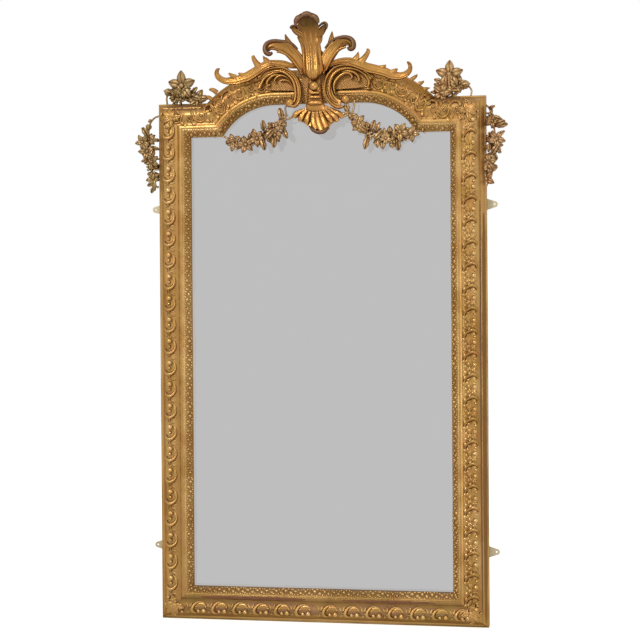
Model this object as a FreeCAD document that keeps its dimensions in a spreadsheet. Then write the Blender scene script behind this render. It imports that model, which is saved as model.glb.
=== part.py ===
import FreeCAD, Part
import math
import os
import Sketcher
from FreeCAD import Placement, Rotation, Vector

# Giltwood mirror with a raised arch, a carved crest and wire-cast flower garlands.
# Frame: X to the right, +Y into the wall, +Z up. The origin is the middle of the four wall-plate holes,
# on the wall plane. Depths are counted from the wall towards the room.

SIZES = [
    ("frame_width", 950, "outer width of the frame"),
    ("frame_height", 1500, "height of the frame at its level shoulders"),
    ("base_below_plates", 701.5, "bottom edge below the middle of the wall plates"),
    ("carcass_width", 74, "width of the pine carcass members"),
    ("carcass_depth", 34, "depth of the pine carcass"),
    ("rabbet_width", 18, "ledge on the back of the carcass, for the turn buttons"),
    ("rabbet_depth", 8, "depth of that ledge"),
    ("arch_shoulder", 348, "end of the level crown from the frame's side"),
    ("arch_radius", 178, "haunch radius at the sight edge"),
    ("arch_rise", 88, "rise of the arch above the shoulders"),
    ("edge_height", 8, "plain outer edge of the moulding"),
    ("cavetto_width", 15, "outer hollow, across"),
    ("cavetto_height", 40, "top of the outer hollow above the carcass"),
    ("cavetto_hollow", 4, "how far the outer hollow bows in"),
    ("quirk_width", 4, "flat quirk beside the bead"),
    ("bead_height", 50, "foot of the bead above the carcass"),
    ("bead_width", 9, "bead, across"),
    ("bead_round", 3.2, "crown of the bead"),
    ("cove_width", 42, "main hollow, across"),
    ("cove_hollow", 10, "how far the main hollow bows in"),
    ("ridge_base", 36, "foot of the inner ridge above the carcass"),
    ("ridge_height", 43, "top of the inner ridge above the carcass"),
    ("ridge_width", 9, "inner ridge, across"),
    ("slip_width", 21, "sight slip, across"),
    ("slip_height", 35, "back of the slip above the carcass"),
    ("slip_flat", 4, "flat at the back of the slip"),
    ("slip_round", 3, "crown of the slip's round"),
    ("slip_lip_width", 3, "lip at the sight edge"),
    ("slip_lip_height", 18, "lip above the glass"),
    ("glue_gap", 0.2, "glue line between slip and moulding"),
    ("glass_thickness", 5, "mirror glass"),
    ("glass_edge_gap", 3, "room around the glass"),
    ("block_length", 40, "glazing block along the frame"),
    ("block_width", 6, "glazing block across"),
    ("block_pitch", 420, "from one glazing block to the next"),
    ("board_thickness", 10, "backboards"),
    ("board_gap", 1, "room around each backboard"),
    ("batten_width", 60, "battens across the backboards"),
    ("batten_thickness", 6, "batten"),
    ("batten_inset", 80, "batten end from the side of the backboards"),
    ("batten_spacing", 760, "from one batten to the other"),
    ("screw_radius", 2, "wood screw shank"),
    ("screw_head_radius", 4.2, "wood screw head"),
    ("screw_head_height", 1.8, "pan head"),
    ("screw_bite", 14, "screw length in the carcass"),
    ("board_bite", 7, "screw length in a backboard"),
    ("screw_room", 0.1, "room around a screw in wood or plate"),
    ("pivot_room", 0.05, "running clearance of a turn button on its screw"),
    ("button_radius", 7, "rounded end of a turn button"),
    ("button_reach", 27, "turn button from pivot to tip"),
    ("button_thickness", 3, "turn button"),
    ("button_gap", 0.1, "play on each side of a turn button"),
    ("button_pitch", 470, "from one turn button to the next"),
    ("plate_spacing", 987, "lower to upper wall plate"),
    ("plate_height", 32, "wall plate"),
    ("plate_length", 30, "wall plate let into the stile"),
    ("plate_thickness", 2, "wall plate"),
    ("plate_room", 0.2, "room around a wall plate"),
    ("ear_reach", 21, "hole of the wall plate beyond the stile"),
    ("ear_radius", 9, "rounded tip of the ear"),
    ("ear_hole_radius", 2.5, "hole in the ear"),
    ("plate_screw_first", 8, "first screw from the stile's edge"),
    ("plate_screw_pitch", 14, "second screw from the first"),
    ("shell_pitch", 62.6, "running ornament, one shell to the next"),
    ("shell_ring", 15, "ring shell, radius of its ridge line"),
    ("shell_ridge", 4, "ring shell, radius of its ridge"),
    ("shell_across", 46, "ring shell from the outer edge"),
    ("pearl_radius", 6.5, "pearl"),
    ("pearl_across", 34, "pearl from the outer edge"),
    ("corner_leaf_length", 62, "corner leaf along the mitre"),
    ("corner_leaf_half", 20, "corner leaf, half its width"),
    ("corner_leaf_swell", 9, "corner leaf, how far it swells"),
    ("rinceau_ring", 13, "scroll in the head's hollow"),
    ("rinceau_step", 13, "degrees of arch from scroll to scroll"),
    ("crest_block_half", 52, "pine block behind the crest, half its width"),
    ("crest_block_height", 74, "pine block, height above the crown"),
    ("crest_block_back", 22, "pine block, back face from the wall"),
    ("crest_block_depth", 62, "pine block, depth"),
    ("plume_height", 178, "centre plume from neck to fold"),
    ("plume_half", 52, "centre plume, half its widest"),
    ("plume_swell", 20, "centre plume, swell of its stem"),
    ("plume_lean", 84, "how far the plume folds towards the room"),
    ("side_plume_reach", 132, "side plume, out from the middle"),
    ("side_plume_height", 108, "side plume from neck to top"),
    ("side_plume_half", 17, "side plume, half its width"),
    ("neck_drop", 34, "neck of the plumes below the crown"),
    ("boss_half", 27, "boss, half its width"),
    ("boss_height", 118, "boss from neck to shell"),
    ("boss_depth", 30, "boss, forward of the bead"),
    ("ball_radius", 14, "ball on the boss"),
    ("bar_radius", 8, "bars under the ball"),
    ("fan_length", 86, "scallop shell, hinge to rim"),
    ("fan_spread", 140, "scallop shell, degrees"),
    ("fan_lobe", 13, "scallop lobe, radius at the rim"),
    ("scroll_radius", 56, "C-scroll, radius of its band"),
    ("scroll_band", 9, "C-scroll, half thickness of its band"),
    ("scroll_out", 95, "C-scroll, centre from the middle"),
    ("scroll_drop", 62, "C-scroll, centre below the crown"),
    ("scroll_eye", 13, "C-scroll, radius of its eye"),
    ("acanthus_run", 159, "long leaf, tip past the level crown"),
    ("acanthus_half", 21, "long leaf, half its width"),
    ("acanthus_swell", 9, "long leaf, swell"),
    ("wire_radius", 2.6, "garland wire"),
    ("flower_radius", 25, "flower of a swag or drop"),
    ("flower_thickness", 9, "flower, front to back"),
    ("bud_radius", 8, "bud"),
    ("swag_depth", 46, "lowest point of a swag's wire below the shoulder's sight edge"),
    ("swag_lift", 66, "swag from the wall"),
    ("drop_length", 222, "side drop"),
    ("drop_top", 40, "side drop below the shoulder"),
    ("drop_bow", 40, "side drop, out from the stile"),
    ("drop_lift", 27, "side drop from the wall"),
    ("spray_inset", 81, "spray from the frame's side"),
    ("spray_height", 48, "flower of the spray above the shoulder"),
    ("spray_radius", 44, "spray flower"),
    ("spray_lift", 24, "spray from the wall"),
    ("spray_bud", 14, "bud at the foot of a spray"),
]

doc = FreeCAD.newDocument("GiltwoodMirror")
sheet = doc.addObject("Spreadsheet::Sheet", "Dims")
for row, (alias, value, note) in enumerate(SIZES, 1):
    sheet.set(f"A{row}", note)
    sheet.set(f"B{row}", str(value))
    sheet.setAlias(f"B{row}", alias)
doc.recompute()


class Size:
    """A length or an angle: its number, and the sheet expression that gives it."""

    def __init__(self, number, text):
        self.number = number
        self.text = text

    def __float__(self):
        return float(self.number)

    def __neg__(self):
        return Size(-self.number, f"(-{self.text})")

    def __add__(self, other):
        other = as_size(other)
        return Size(self.number + other.number, f"({self.text} + {other.text})")

    def __sub__(self, other):
        other = as_size(other)
        return Size(self.number - other.number, f"({self.text} - {other.text})")

    def __mul__(self, other):
        other = as_size(other)
        return Size(self.number * other.number, f"({self.text} * {other.text})")

    def __truediv__(self, other):
        other = as_size(other)
        return Size(self.number / other.number, f"({self.text} / {other.text})")


def as_size(value):
    return value if isinstance(value, Size) else Size(float(value), repr(float(value)))


def root(size):
    return Size(math.sqrt(size.number), f"sqrt({size.text})")


class Dims:
    """Every alias of the sheet as a Size."""

    def __getattr__(self, alias):
        return Size(float(sheet.get(alias)), "Dims." + alias)


dims = Dims()
NONE = as_size(0)

# Lines that many pieces share
half_width = dims.frame_width / 2
arch_flat = half_width - dims.arch_shoulder
z_low = -dims.base_below_plates
z_high = dims.frame_height - dims.base_below_plates
moulding_width = (dims.cavetto_width + dims.quirk_width + dims.bead_width + dims.cove_width
                  + dims.ridge_width)
sight_inset = moulding_width + dims.slip_width
arch_centre = z_high - sight_inset + dims.arch_rise - dims.arch_radius
crown = z_high + dims.arch_rise
ledge_across = dims.carcass_width - dims.rabbet_width
board_inset = dims.carcass_width + dims.board_gap
board_front = dims.rabbet_depth + dims.board_thickness
bead_top = dims.carcass_depth + dims.bead_height + dims.bead_round
crown_front = float(bead_top)


def arc_at(inset):
    return dims.arch_radius + sight_inset - inset


def kink_at(inset):
    return arch_flat + root(dims.arch_rise * (arc_at(inset) * 2 - dims.arch_rise))


mitre_lean = (kink_at(NONE) - kink_at(sight_inset)) / sight_inset


def chord_radius(across, up, bow):
    """Radius of the arc over a chord that bows by the given amount."""
    return (across * across + up * up + bow * bow * 4) / (bow * 8)


# Sketches: a loop is a list of corners (x, y) or (x, y, arc), where arc joins the corner to the next one
# and is (radius, turn) or (centre x, centre y, turn). A turn of +1 keeps the centre on the left.

sub_parts = []


def keep(label, thing):
    thing.Label = label
    sub_parts.append(thing)
    return thing


def new_body(label):
    return keep(label, doc.addObject("PartDesign::Body", label))


def origin_plane(body, role):
    return next(part for part in body.Origin.OriginFeatures if part.Role == role)


def arc_centre(start, end, arc):
    if len(arc) == 3:
        return Vector(float(arc[0]), float(arc[1]))
    radius, turn = float(arc[0]), arc[1]
    chord = end - start
    reach = math.sqrt(max(radius ** 2 - (chord.Length / 2) ** 2, 0))
    return (start + end) / 2 + Vector(-chord.y, chord.x).normalize() * reach * turn


def draw(body, name, role, loops=(), circles=(), lift=NONE, raised=NONE):
    sketch = body.newObject("Sketcher::SketchObject", name)
    sketch.AttachmentSupport = [(origin_plane(body, role), "")]
    sketch.MapMode = "FlatFace"
    sketch.AttachmentOffset = Placement(Vector(0, float(raised), float(lift)), Rotation())
    if lift is not NONE:
        sketch.setExpression("AttachmentOffset.Base.z", lift.text)
    if raised is not NONE:
        sketch.setExpression("AttachmentOffset.Base.y", raised.text)
    shapes, ties, bound = [], [], []

    def tie(kind, *where, size=None):
        if size is None:
            ties.append(Sketcher.Constraint(kind, *where))
            return
        ties.append(Sketcher.Constraint(kind, *where, float(size)))
        bound.append((len(ties) - 1, size))

    def pin(shape, point, x, y):
        tie("DistanceX", -1, 1, shape, point, size=x)
        tie("DistanceY", -1, 1, shape, point, size=y)

    for loop in loops:
        first = len(shapes)
        spots = [Vector(float(corner[0]), float(corner[1])) for corner in loop]
        ends = []
        for i, corner in enumerate(loop):
            start, end = spots[i], spots[(i + 1) % len(loop)]
            if len(corner) == 2:
                shapes.append(Part.LineSegment(start, end))
                ends.append((1, 2))
                continue
            middle, turn = arc_centre(start, end, corner[2]), corner[2][-1]
            angles = [math.atan2(spot.y - middle.y, spot.x - middle.x) for spot in (start, end)]
            circle = Part.Circle(middle, Vector(0, 0, 1), (start - middle).Length)
            shapes.append(Part.ArcOfCircle(circle, *(angles if turn > 0 else angles[::-1])))
            ends.append((1, 2) if turn > 0 else (2, 1))
        for i, corner in enumerate(loop):
            follower = (i + 1) % len(loop)
            tie("Coincident", first + i, ends[i][1], first + follower, ends[follower][0])
            pin(first + i, ends[i][0], as_size(corner[0]), as_size(corner[1]))
            if len(corner) == 3 and len(corner[2]) == 3:
                tie("DistanceX", -1, 1, first + i, 3, size=as_size(corner[2][0]))
            elif len(corner) == 3:
                tie("Radius", first + i, size=corner[2][0])
    for x, y, radius in circles:
        shapes.append(Part.Circle(Vector(float(x), float(y)), Vector(0, 0, 1), float(radius)))
        tie("Radius", len(shapes) - 1, size=radius)
        pin(len(shapes) - 1, 3, as_size(x), as_size(y))
    sketch.addGeometry(shapes)
    sketch.addConstraint(ties)
    for number, size in bound:
        sketch.renameConstraint(number, f"size{number}")
        sketch.setExpression(f"Constraints.size{number}", size.text)
    return sketch


def pad(body, sketch, length):
    feature = body.newObject("PartDesign::Pad", "Pad")
    feature.Profile = sketch
    feature.setExpression("Length", length.text)
    doc.recompute()
    return feature


def pocket(body, sketch, depth=None):
    """Cut from the sketch towards the room, right through where no depth is given."""
    before = body.Shape.Volume
    feature = body.newObject("PartDesign::Pocket", "Pocket")
    feature.Profile = sketch
    feature.Reversed = True
    if depth is None:
        feature.Type = "ThroughAll"
    else:
        feature.setExpression("Length", depth.text)
    doc.recompute()
    if not body.Shape.Volume < before:
        raise RuntimeError(f"{body.Label}: a pocket cut nothing")
    return feature


def rectangle(x0, y0, x1, y1):
    return [(x0, y0), (x1, y0), (x1, y1), (x0, y1)]


def twin(label, source):
    """The same piece on the other side of the mirror's middle."""
    copy = keep(label, doc.addObject("Part::Mirroring", label))
    copy.Source = source
    copy.Normal = Vector(1, 0, 0)
    return copy


def carving(label, shape):
    feature = keep(label, doc.addObject("Part::Feature", label))
    feature.Shape = shape
    return feature


def mirrored(shape):
    return shape.mirror(Vector(0, 0, 0), Vector(1, 0, 0))


# Pine carcass: stiles run full height, the rail and the head lap over them at the corners

lap = dims.carcass_depth / 2
stile_inner = dims.carcass_width - half_width
pivot_x = ledge_across + dims.rabbet_width / 2 - half_width
z_middle = (z_low + z_high) / 2
pivot_heights = [z_middle + dims.button_pitch * step for step in (-1, 0, 1)]
plate_heights = {"lower": -dims.plate_spacing / 2, "upper": dims.plate_spacing / 2}
plate_screw_spots = [dims.plate_screw_first - half_width,
                     dims.plate_screw_first + dims.plate_screw_pitch - half_width]
screw_hole = dims.screw_radius + dims.screw_room

left_stile = new_body("left_stile")
pad(left_stile, draw(left_stile, "Face", "XZ_Plane", [rectangle(-half_width, z_low, stile_inner, z_high)]),
    dims.carcass_depth)
pocket(left_stile, draw(left_stile, "Ledge", "XZ_Plane",
                        [rectangle(ledge_across - half_width, z_low + ledge_across,
                                   stile_inner, z_high - ledge_across)]), dims.rabbet_depth)
pocket(left_stile, draw(left_stile, "Laps", "XZ_Plane",
                        [rectangle(-half_width, z_low, stile_inner, z_low + dims.carcass_width),
                         rectangle(-half_width, z_high - dims.carcass_width, stile_inner, z_high)], lift=lap))
pocket(left_stile, draw(left_stile, "PlateSeats", "XZ_Plane",
                        [rectangle(-half_width, height - dims.plate_height / 2 - dims.plate_room,
                                   dims.plate_length + dims.plate_room - half_width,
                                   height + dims.plate_height / 2 + dims.plate_room)
                         for height in plate_heights.values()]), dims.plate_thickness)
pocket(left_stile, draw(left_stile, "PlateScrewHoles", "XZ_Plane",
                        circles=[(x, height, screw_hole) for x in plate_screw_spots
                                 for height in plate_heights.values()]),
       dims.plate_thickness + dims.screw_bite)
pocket(left_stile, draw(left_stile, "PivotHoles", "XZ_Plane",
                        circles=[(pivot_x, height, screw_hole) for height in pivot_heights]),
       dims.rabbet_depth + dims.screw_bite)
right_stile = twin("right_stile", left_stile)

bottom_rail = new_body("bottom_rail")
rail_inner = z_low + dims.carcass_width
pad(bottom_rail, draw(bottom_rail, "Face", "XZ_Plane",
                      [rectangle(-half_width, z_low, half_width, rail_inner)]), dims.carcass_depth)
pocket(bottom_rail, draw(bottom_rail, "Laps", "XZ_Plane",
                         [rectangle(-half_width, z_low, stile_inner, rail_inner),
                          rectangle(-stile_inner, z_low, half_width, rail_inner)]), lap)
pocket(bottom_rail, draw(bottom_rail, "Ledge", "XZ_Plane",
                         [rectangle(stile_inner, z_low + ledge_across, -stile_inner, rail_inner)]),
       dims.rabbet_depth)


def head_line(inset, end_x):
    """The head's outline at one inset from the outer edge, from left to right."""
    level = z_high - inset
    top = arch_centre + arc_at(inset)
    return [(-end_x, level),
            (-kink_at(inset), level, (-arch_flat, arch_centre, -1)),
            (-arch_flat, top),
            (arch_flat, top, (arch_flat, arch_centre, -1)),
            (kink_at(inset), level),
            (end_x, level)]


def head_line_back(inset, end_x):
    """The same outline from right to left."""
    level = z_high - inset
    top = arch_centre + arc_at(inset)
    return [(end_x, level),
            (kink_at(inset), level, (arch_flat, arch_centre, 1)),
            (arch_flat, top),
            (-arch_flat, top, (-arch_flat, arch_centre, 1)),
            (-kink_at(inset), level),
            (-end_x, level)]


head_board = new_body("head_board")
pad(head_board, draw(head_board, "Face", "XZ_Plane",
                     [head_line(NONE, half_width) + head_line_back(dims.carcass_width, half_width)]),
    dims.carcass_depth)
pocket(head_board, draw(head_board, "Laps", "XZ_Plane",
                        [rectangle(-half_width, z_high - dims.carcass_width, stile_inner, z_high),
                         rectangle(-stile_inner, z_high - dims.carcass_width, half_width, z_high)]), lap)
pocket(head_board, draw(head_board, "Ledge", "XZ_Plane",
                        [head_line(ledge_across, -stile_inner)
                         + head_line_back(dims.carcass_width, -stile_inner)]), dims.rabbet_depth)

# Gilt mouldings and slips: one section each, run along the frame and mitred.
# A section's corners are (across from the outer edge, above the carcass, arc).

bead_foot = dims.cavetto_width + dims.quirk_width
cove_start = bead_foot + dims.bead_width
ridge_start = cove_start + dims.cove_width
MOULDING = [
    (NONE, NONE),
    (NONE, dims.edge_height,
     (chord_radius(dims.cavetto_width, dims.cavetto_height - dims.edge_height, dims.cavetto_hollow), 1)),
    (dims.cavetto_width, dims.cavetto_height),
    (bead_foot, dims.cavetto_height),
    (bead_foot, dims.bead_height, (chord_radius(dims.bead_width, NONE, dims.bead_round), -1)),
    (cove_start, dims.bead_height,
     (chord_radius(dims.cove_width, dims.bead_height - dims.ridge_base, dims.cove_hollow), 1)),
    (ridge_start, dims.ridge_base),
    (ridge_start, dims.ridge_height),
    (moulding_width, dims.ridge_height),
    (moulding_width, NONE),
]
slip_start = moulding_width + dims.glue_gap
lip_start = sight_inset - dims.slip_lip_width
SLIP = [
    (slip_start, NONE),
    (slip_start, dims.slip_height),
    (slip_start + dims.slip_flat, dims.slip_height,
     (chord_radius(lip_start - slip_start - dims.slip_flat, dims.slip_height - dims.slip_lip_height,
                   dims.slip_round), -1)),
    (lip_start, dims.slip_lip_height),
    (sight_inset, dims.slip_lip_height),
    (sight_inset, NONE),
]


def flipped(arc):
    return tuple(arc[:-1]) + (-arc[-1],)


def straight_section(section):
    """The section in a plane with the wall's depth running down."""
    loop = []
    for across, up, *arc in section:
        loop.append((across, -(dims.carcass_depth + up)) + tuple(flipped(bend) for bend in arc))
    return loop


def arch_section(section):
    """The section in the plane across the crown, heights counted from the haunch centre."""
    loop = []
    for across, up, *arc in section:
        loop.append((-(dims.carcass_depth + up), arc_at(across)) + tuple(flipped(bend) for bend in arc))
    return loop


def run_length(label, section, length, end_lean):
    """A straight length along +Z of its own frame: a corner mitre at the start, and at its end a mitre
    that leans by end_lean for each millimetre across."""
    body = new_body(label)
    full = length if end_lean is CORNER else length + sight_inset * end_lean
    pad(body, draw(body, "Section", "XY_Plane", [straight_section(section)]), full)
    far = sight_inset * 2
    pocket(body, draw(body, "Mitres", "XZ_Plane",
                      [[(-sight_inset, -sight_inset), (-sight_inset, -far), (far, -far), (far, far)],
                       [(-sight_inset, length - sight_inset * end_lean), (far, length + far * end_lean),
                        (far, length + far * 2), (-sight_inset, length + far * 2)]]))
    return body


def place(body, x, z, turn):
    body.Placement = Placement(Vector(float(x), 0, float(z)), Rotation(Vector(0, 1, 0), turn))
    body.setExpression("Placement.Base.x", x.text)
    body.setExpression("Placement.Base.z", z.text)


def arch_length(label, section):
    body = new_body(label)
    half_crown = draw(body, "CrownSection", "YZ_Plane", [arch_section(section)], raised=arch_centre)
    pad(body, half_crown, arch_flat)
    haunch_section = draw(body, "HaunchSection", "YZ_Plane", [arch_section(section)],
                          lift=arch_flat, raised=arch_centre)
    haunch = body.newObject("PartDesign::Revolution", "Haunch")
    haunch.Profile = haunch_section
    haunch.ReferenceAxis = (haunch_section, ["H_Axis"])
    cosine = (dims.arch_radius - dims.arch_rise) / dims.arch_radius
    haunch.setExpression("Angle", f"acos({cosine.text}) + {SPARE_TURN} deg")
    doc.recompute()
    start_x = kink_at(sight_inset) - sight_inset * mitre_lean
    end_x = kink_at(sight_inset) + sight_inset * mitre_lean * 2
    level = z_high - sight_inset
    pocket(body, draw(body, "Mitre", "XZ_Plane",
                      [[(start_x, level - sight_inset), (end_x + sight_inset, level - sight_inset),
                        (end_x + sight_inset, level + sight_inset * 2), (end_x, level + sight_inset * 2)]]))
    other_half = body.newObject("PartDesign::Mirrored", "OtherHalf")
    other_half.TransformMode = "Whole shape"
    other_half.MirrorPlane = (origin_plane(body, "YZ_Plane"), [""])
    body.Tip = other_half
    doc.recompute()
    return body


CORNER = as_size(-1)
SPARE_TURN = 4
shoulder_length = half_width - kink_at(NONE)


def frame_lengths(kind, section):
    left = run_length(f"left_{kind}", section, dims.frame_height, CORNER)
    place(left, -half_width, z_low, 0)
    right = twin(f"right_{kind}", left)
    bottom = run_length(f"bottom_{kind}", section, dims.frame_width, CORNER)
    place(bottom, half_width, z_low, -90)
    shoulder = run_length(f"left_shoulder_{kind}", section, shoulder_length, mitre_lean)
    place(shoulder, -half_width, z_high, 90)
    other_shoulder = twin(f"right_shoulder_{kind}", shoulder)
    arch = arch_length(f"arch_{kind}", section)
    doc.recompute()
    return [left, right, bottom, shoulder, other_shoulder, arch]


mouldings = frame_lengths("moulding", MOULDING)
slips = frame_lengths("slip", SLIP)

# Mirror glass, the blocks that hold it, and the boarded back

glass_inset = dims.carcass_width + dims.glass_edge_gap
mirror_glass = new_body("mirror_glass")
pad(mirror_glass, draw(mirror_glass, "Face", "XZ_Plane",
                       [head_line(glass_inset, half_width - glass_inset)
                        + [(half_width - glass_inset, z_low + glass_inset),
                           (glass_inset - half_width, z_low + glass_inset)]],
                       lift=dims.carcass_depth - dims.glass_thickness), dims.glass_thickness)

block_depth = float(dims.carcass_depth - dims.glass_thickness - board_front)
block_back = float(board_front)


def block(x, z, width, height):
    return Part.makeBox(width, block_depth, height,
                        Vector(x - width / 2, -block_back - block_depth, z - height / 2))


block_long, block_wide = float(dims.block_length), float(dims.block_width)
side_block_x = float(stile_inner) + block_wide / 2
low_block_z = float(rail_inner) + block_wide / 2
blocks = []
for step in (-1, 0, 1):
    height = float(z_middle + dims.block_pitch * step)
    blocks += [block(side * side_block_x, height, block_wide, block_long) for side in (-1, 1)]
for side in (-1, 1):
    blocks.append(block(side * float(dims.block_pitch) / 2, low_block_z, block_long, block_wide))
carving("glazing_blocks", Part.Compound(blocks))

board_bottom = z_low + board_inset
board_crown = arch_centre + arc_at(board_inset)
board_level = z_high - board_inset
board_split = arch_flat + dims.board_gap / 2
board_side = half_width - board_inset
batten_length = (board_side - dims.batten_inset) * 2
batten_heights = {"lower": z_middle - dims.batten_spacing / 2, "upper": z_middle + dims.batten_spacing / 2}
outer_screw = batten_length / 2 - dims.batten_width / 2
inner_screw = board_split + dims.batten_width / 2
plank_screws = {"left": [-outer_screw, -inner_screw],
                "centre": [-arch_flat / 2, arch_flat / 2],
                "right": [outer_screw, inner_screw]}


def backboard(side, loop):
    body = new_body(f"backboard_{side}")
    pad(body, draw(body, "Face", "XZ_Plane", [loop], lift=dims.rabbet_depth), dims.board_thickness)
    spots = [(x, height, screw_hole) for x in plank_screws[side] for height in batten_heights.values()]
    pocket(body, draw(body, "ScrewHoles", "XZ_Plane", circles=spots, lift=dims.rabbet_depth), dims.board_bite)


half_crown_top = [(-kink_at(board_inset), board_level, (-arch_flat, arch_centre, -1))]
split_top = arch_centre + root(arc_at(board_inset) * arc_at(board_inset)
                               - dims.board_gap * dims.board_gap / 4)
backboard("left", [(-board_side, board_bottom), (-board_side, board_level)] + half_crown_top
          + [(-board_split, split_top), (-board_split, board_bottom)])
backboard("centre", rectangle(dims.board_gap / 2 - arch_flat, board_bottom,
                              arch_flat - dims.board_gap / 2, board_crown))
backboard("right", [(board_split, board_bottom),
                    (board_split, split_top, (arch_flat, arch_centre, -1)),
                    (kink_at(board_inset), board_level), (board_side, board_level),
                    (board_side, board_bottom)])


def screw(x, z, head_from, shank_to):
    """A pan-head wood screw driven into the back; depths from the wall."""
    head = Part.makeCylinder(float(dims.screw_head_radius), float(dims.screw_head_height),
                             Vector(x, -head_from, z), Vector(0, 1, 0))
    shank = Part.makeCylinder(float(dims.screw_radius), shank_to - head_from,
                              Vector(x, -head_from, z), Vector(0, -1, 0))
    return head.fuse(shank)


batten_back = dims.rabbet_depth - dims.batten_thickness
all_plank_screws = [x for spots in plank_screws.values() for x in spots]
batten_screws = []
for place_name, height in batten_heights.items():
    batten = new_body(f"{place_name}_batten")
    pad(batten, draw(batten, "Face", "XZ_Plane",
                     [rectangle(-batten_length / 2, height - dims.batten_width / 2,
                                batten_length / 2, height + dims.batten_width / 2)], lift=batten_back),
        dims.batten_thickness)
    pocket(batten, draw(batten, "ScrewHoles", "XZ_Plane",
                        circles=[(x, height, screw_hole) for x in all_plank_screws], lift=batten_back))
    batten_screws += [screw(float(x), float(height), float(batten_back),
                            float(dims.rabbet_depth + dims.board_bite)) for x in all_plank_screws]
carving("batten_screws", Part.Compound(batten_screws))

# Turn buttons on the stiles' ledges: each swings on its screw to free the backboards

button_front = dims.rabbet_depth - dims.button_gap
button_back = button_front - dims.button_thickness
button_screws = []
for number, height in enumerate(pivot_heights, 1):
    button = new_body(f"left_turn_button_{number}")
    tip = pivot_x + dims.button_reach
    low, high = height - dims.button_radius, height + dims.button_radius
    pad(button, draw(button, "Face", "XZ_Plane",
                     [[(pivot_x, low), (tip, low), (tip, high), (pivot_x, high, (pivot_x, height, 1))]],
                     [(pivot_x, height, dims.screw_radius + dims.pivot_room)], lift=button_back),
        dims.button_thickness)
    twin(f"right_turn_button_{number}", button)
    button_screws += [screw(side * float(pivot_x), float(height), float(button_back - dims.button_gap),
                            float(dims.rabbet_depth + dims.screw_bite)) for side in (1, -1)]
carving("button_screws", Part.Compound(button_screws))

# Brass wall plates let into the backs of the stiles, their ears beside the frame

SINK_SHARE, SAME = 0.9, 1e-6
sink_depth = dims.plate_thickness * SINK_SHARE
for place_name, height in plate_heights.items():
    plate = new_body(f"{place_name}_left_wall_plate")
    edge, inner = -half_width, dims.plate_length - half_width
    ear_x = -half_width - dims.ear_reach
    low, high = height - dims.plate_height / 2, height + dims.plate_height / 2
    face = draw(plate, "Face", "XZ_Plane",
                [[(edge, low), (inner, low), (inner, high), (edge, high),
                  (ear_x, height + dims.ear_radius, (ear_x, height, 1)), (ear_x, height - dims.ear_radius)]],
                [(ear_x, height, dims.ear_hole_radius)]
                + [(x, height, screw_hole) for x in plate_screw_spots])
    solid_plate = pad(plate, face, dims.plate_thickness)
    rims = [f"Edge{number}" for number, rim in enumerate(solid_plate.Shape.Edges, 1)
            if isinstance(rim.Curve, Part.Circle) and abs(rim.Curve.Radius - float(screw_hole)) < SAME
            and abs(rim.Curve.Center.y) < SAME]
    sink = plate.newObject("PartDesign::Chamfer", "Countersinks")
    sink.Base = (solid_plate, rims)
    sink.setExpression("Size", sink_depth.text)
    doc.recompute()
    twin(f"{place_name}_right_wall_plate", plate)


def countersunk_screw(x, z):
    start, inwards = Vector(x, 0, z), Vector(0, -1, 0)
    head = Part.makeCone(float(dims.screw_radius + sink_depth), float(dims.screw_radius), float(sink_depth),
                         start, inwards)
    shank = Part.makeCylinder(float(dims.screw_radius), float(dims.plate_thickness + dims.screw_bite),
                              start, inwards)
    return head.fuse(shank)


carving("plate_screws", Part.Compound([countersunk_screw(side * float(x), float(height))
                                       for side in (1, -1) for x in plate_screw_spots
                                       for height in plate_heights.values()]))

# Carvings. A spot is (x, depth from the wall, z). Each carving is cut to its seat on what carries it.

crown_z = float(crown)
ROOM = Vector(0, -1, 0)


def spot(x, depth, z):
    return Vector(x, -depth, z)


def seated(shape, *carriers):
    """Cut a carving to fit what is behind it, and drop the crumbs."""
    for carrier in carriers:
        shape = shape.cut(carrier if isinstance(carrier, Part.Shape) else carrier.Shape)
    return max(shape.Solids, key=lambda solid: solid.Volume)


def leaf(spine, sides=None):
    """A leaf with a round face: stations of (spot, half width, swell in front, swell behind)."""
    wires = []
    for i, (middle, half, front, back) in enumerate(spine):
        ahead = spine[min(i + 1, len(spine) - 1)][0]
        behind = spine[max(i - 1, 0)][0]
        along = (ahead - behind).normalize()
        side = sides if sides is not None else along.cross(ROOM).normalize()
        face = side.cross(along).normalize()
        left, right = middle - side * half, middle + side * half
        wires.append(Part.Wire([Part.Arc(left, middle + face * front, right).toShape(),
                                Part.Arc(right, middle - face * back, left).toShape()]))
    return Part.makeLoft(wires, True, False)


def rod(first, via, last, radius):
    """A round wire or band along the arc through three spots."""
    line = Part.Arc(first, via, last).toShape()
    disc = Part.Face(Part.Wire([Part.Circle(first, line.tangentAt(line.FirstParameter), radius).toShape()]))
    turn = math.degrees(line.LastParameter - line.FirstParameter)
    return line, disc.revolve(line.Curve.Center, line.Curve.Axis, turn)


# (radius, along the axis), as shares of the bead's radius
BEAD = ((0, -0.9), (0.5, -0.9), (0.88, -0.5), (1, 0), (0.88, 0.5), (0.5, 0.9), (0, 0.9))


def bead(radius, middle):
    """A turned bead with its axis towards the room."""
    outline = [Vector(across * radius, along * radius, 0) for across, along in BEAD]
    turned = Part.Face(Part.makePolygon(outline + outline[:1])).revolve(Vector(0, 0, 0), ROOM, 360)
    turned.translate(middle)
    return turned


def fused(shapes):
    return shapes[0].multiFuse(shapes[1:])


# Running ornament: a ring shell with a pearl in its mouth, on the stiles and the bottom rail

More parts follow.
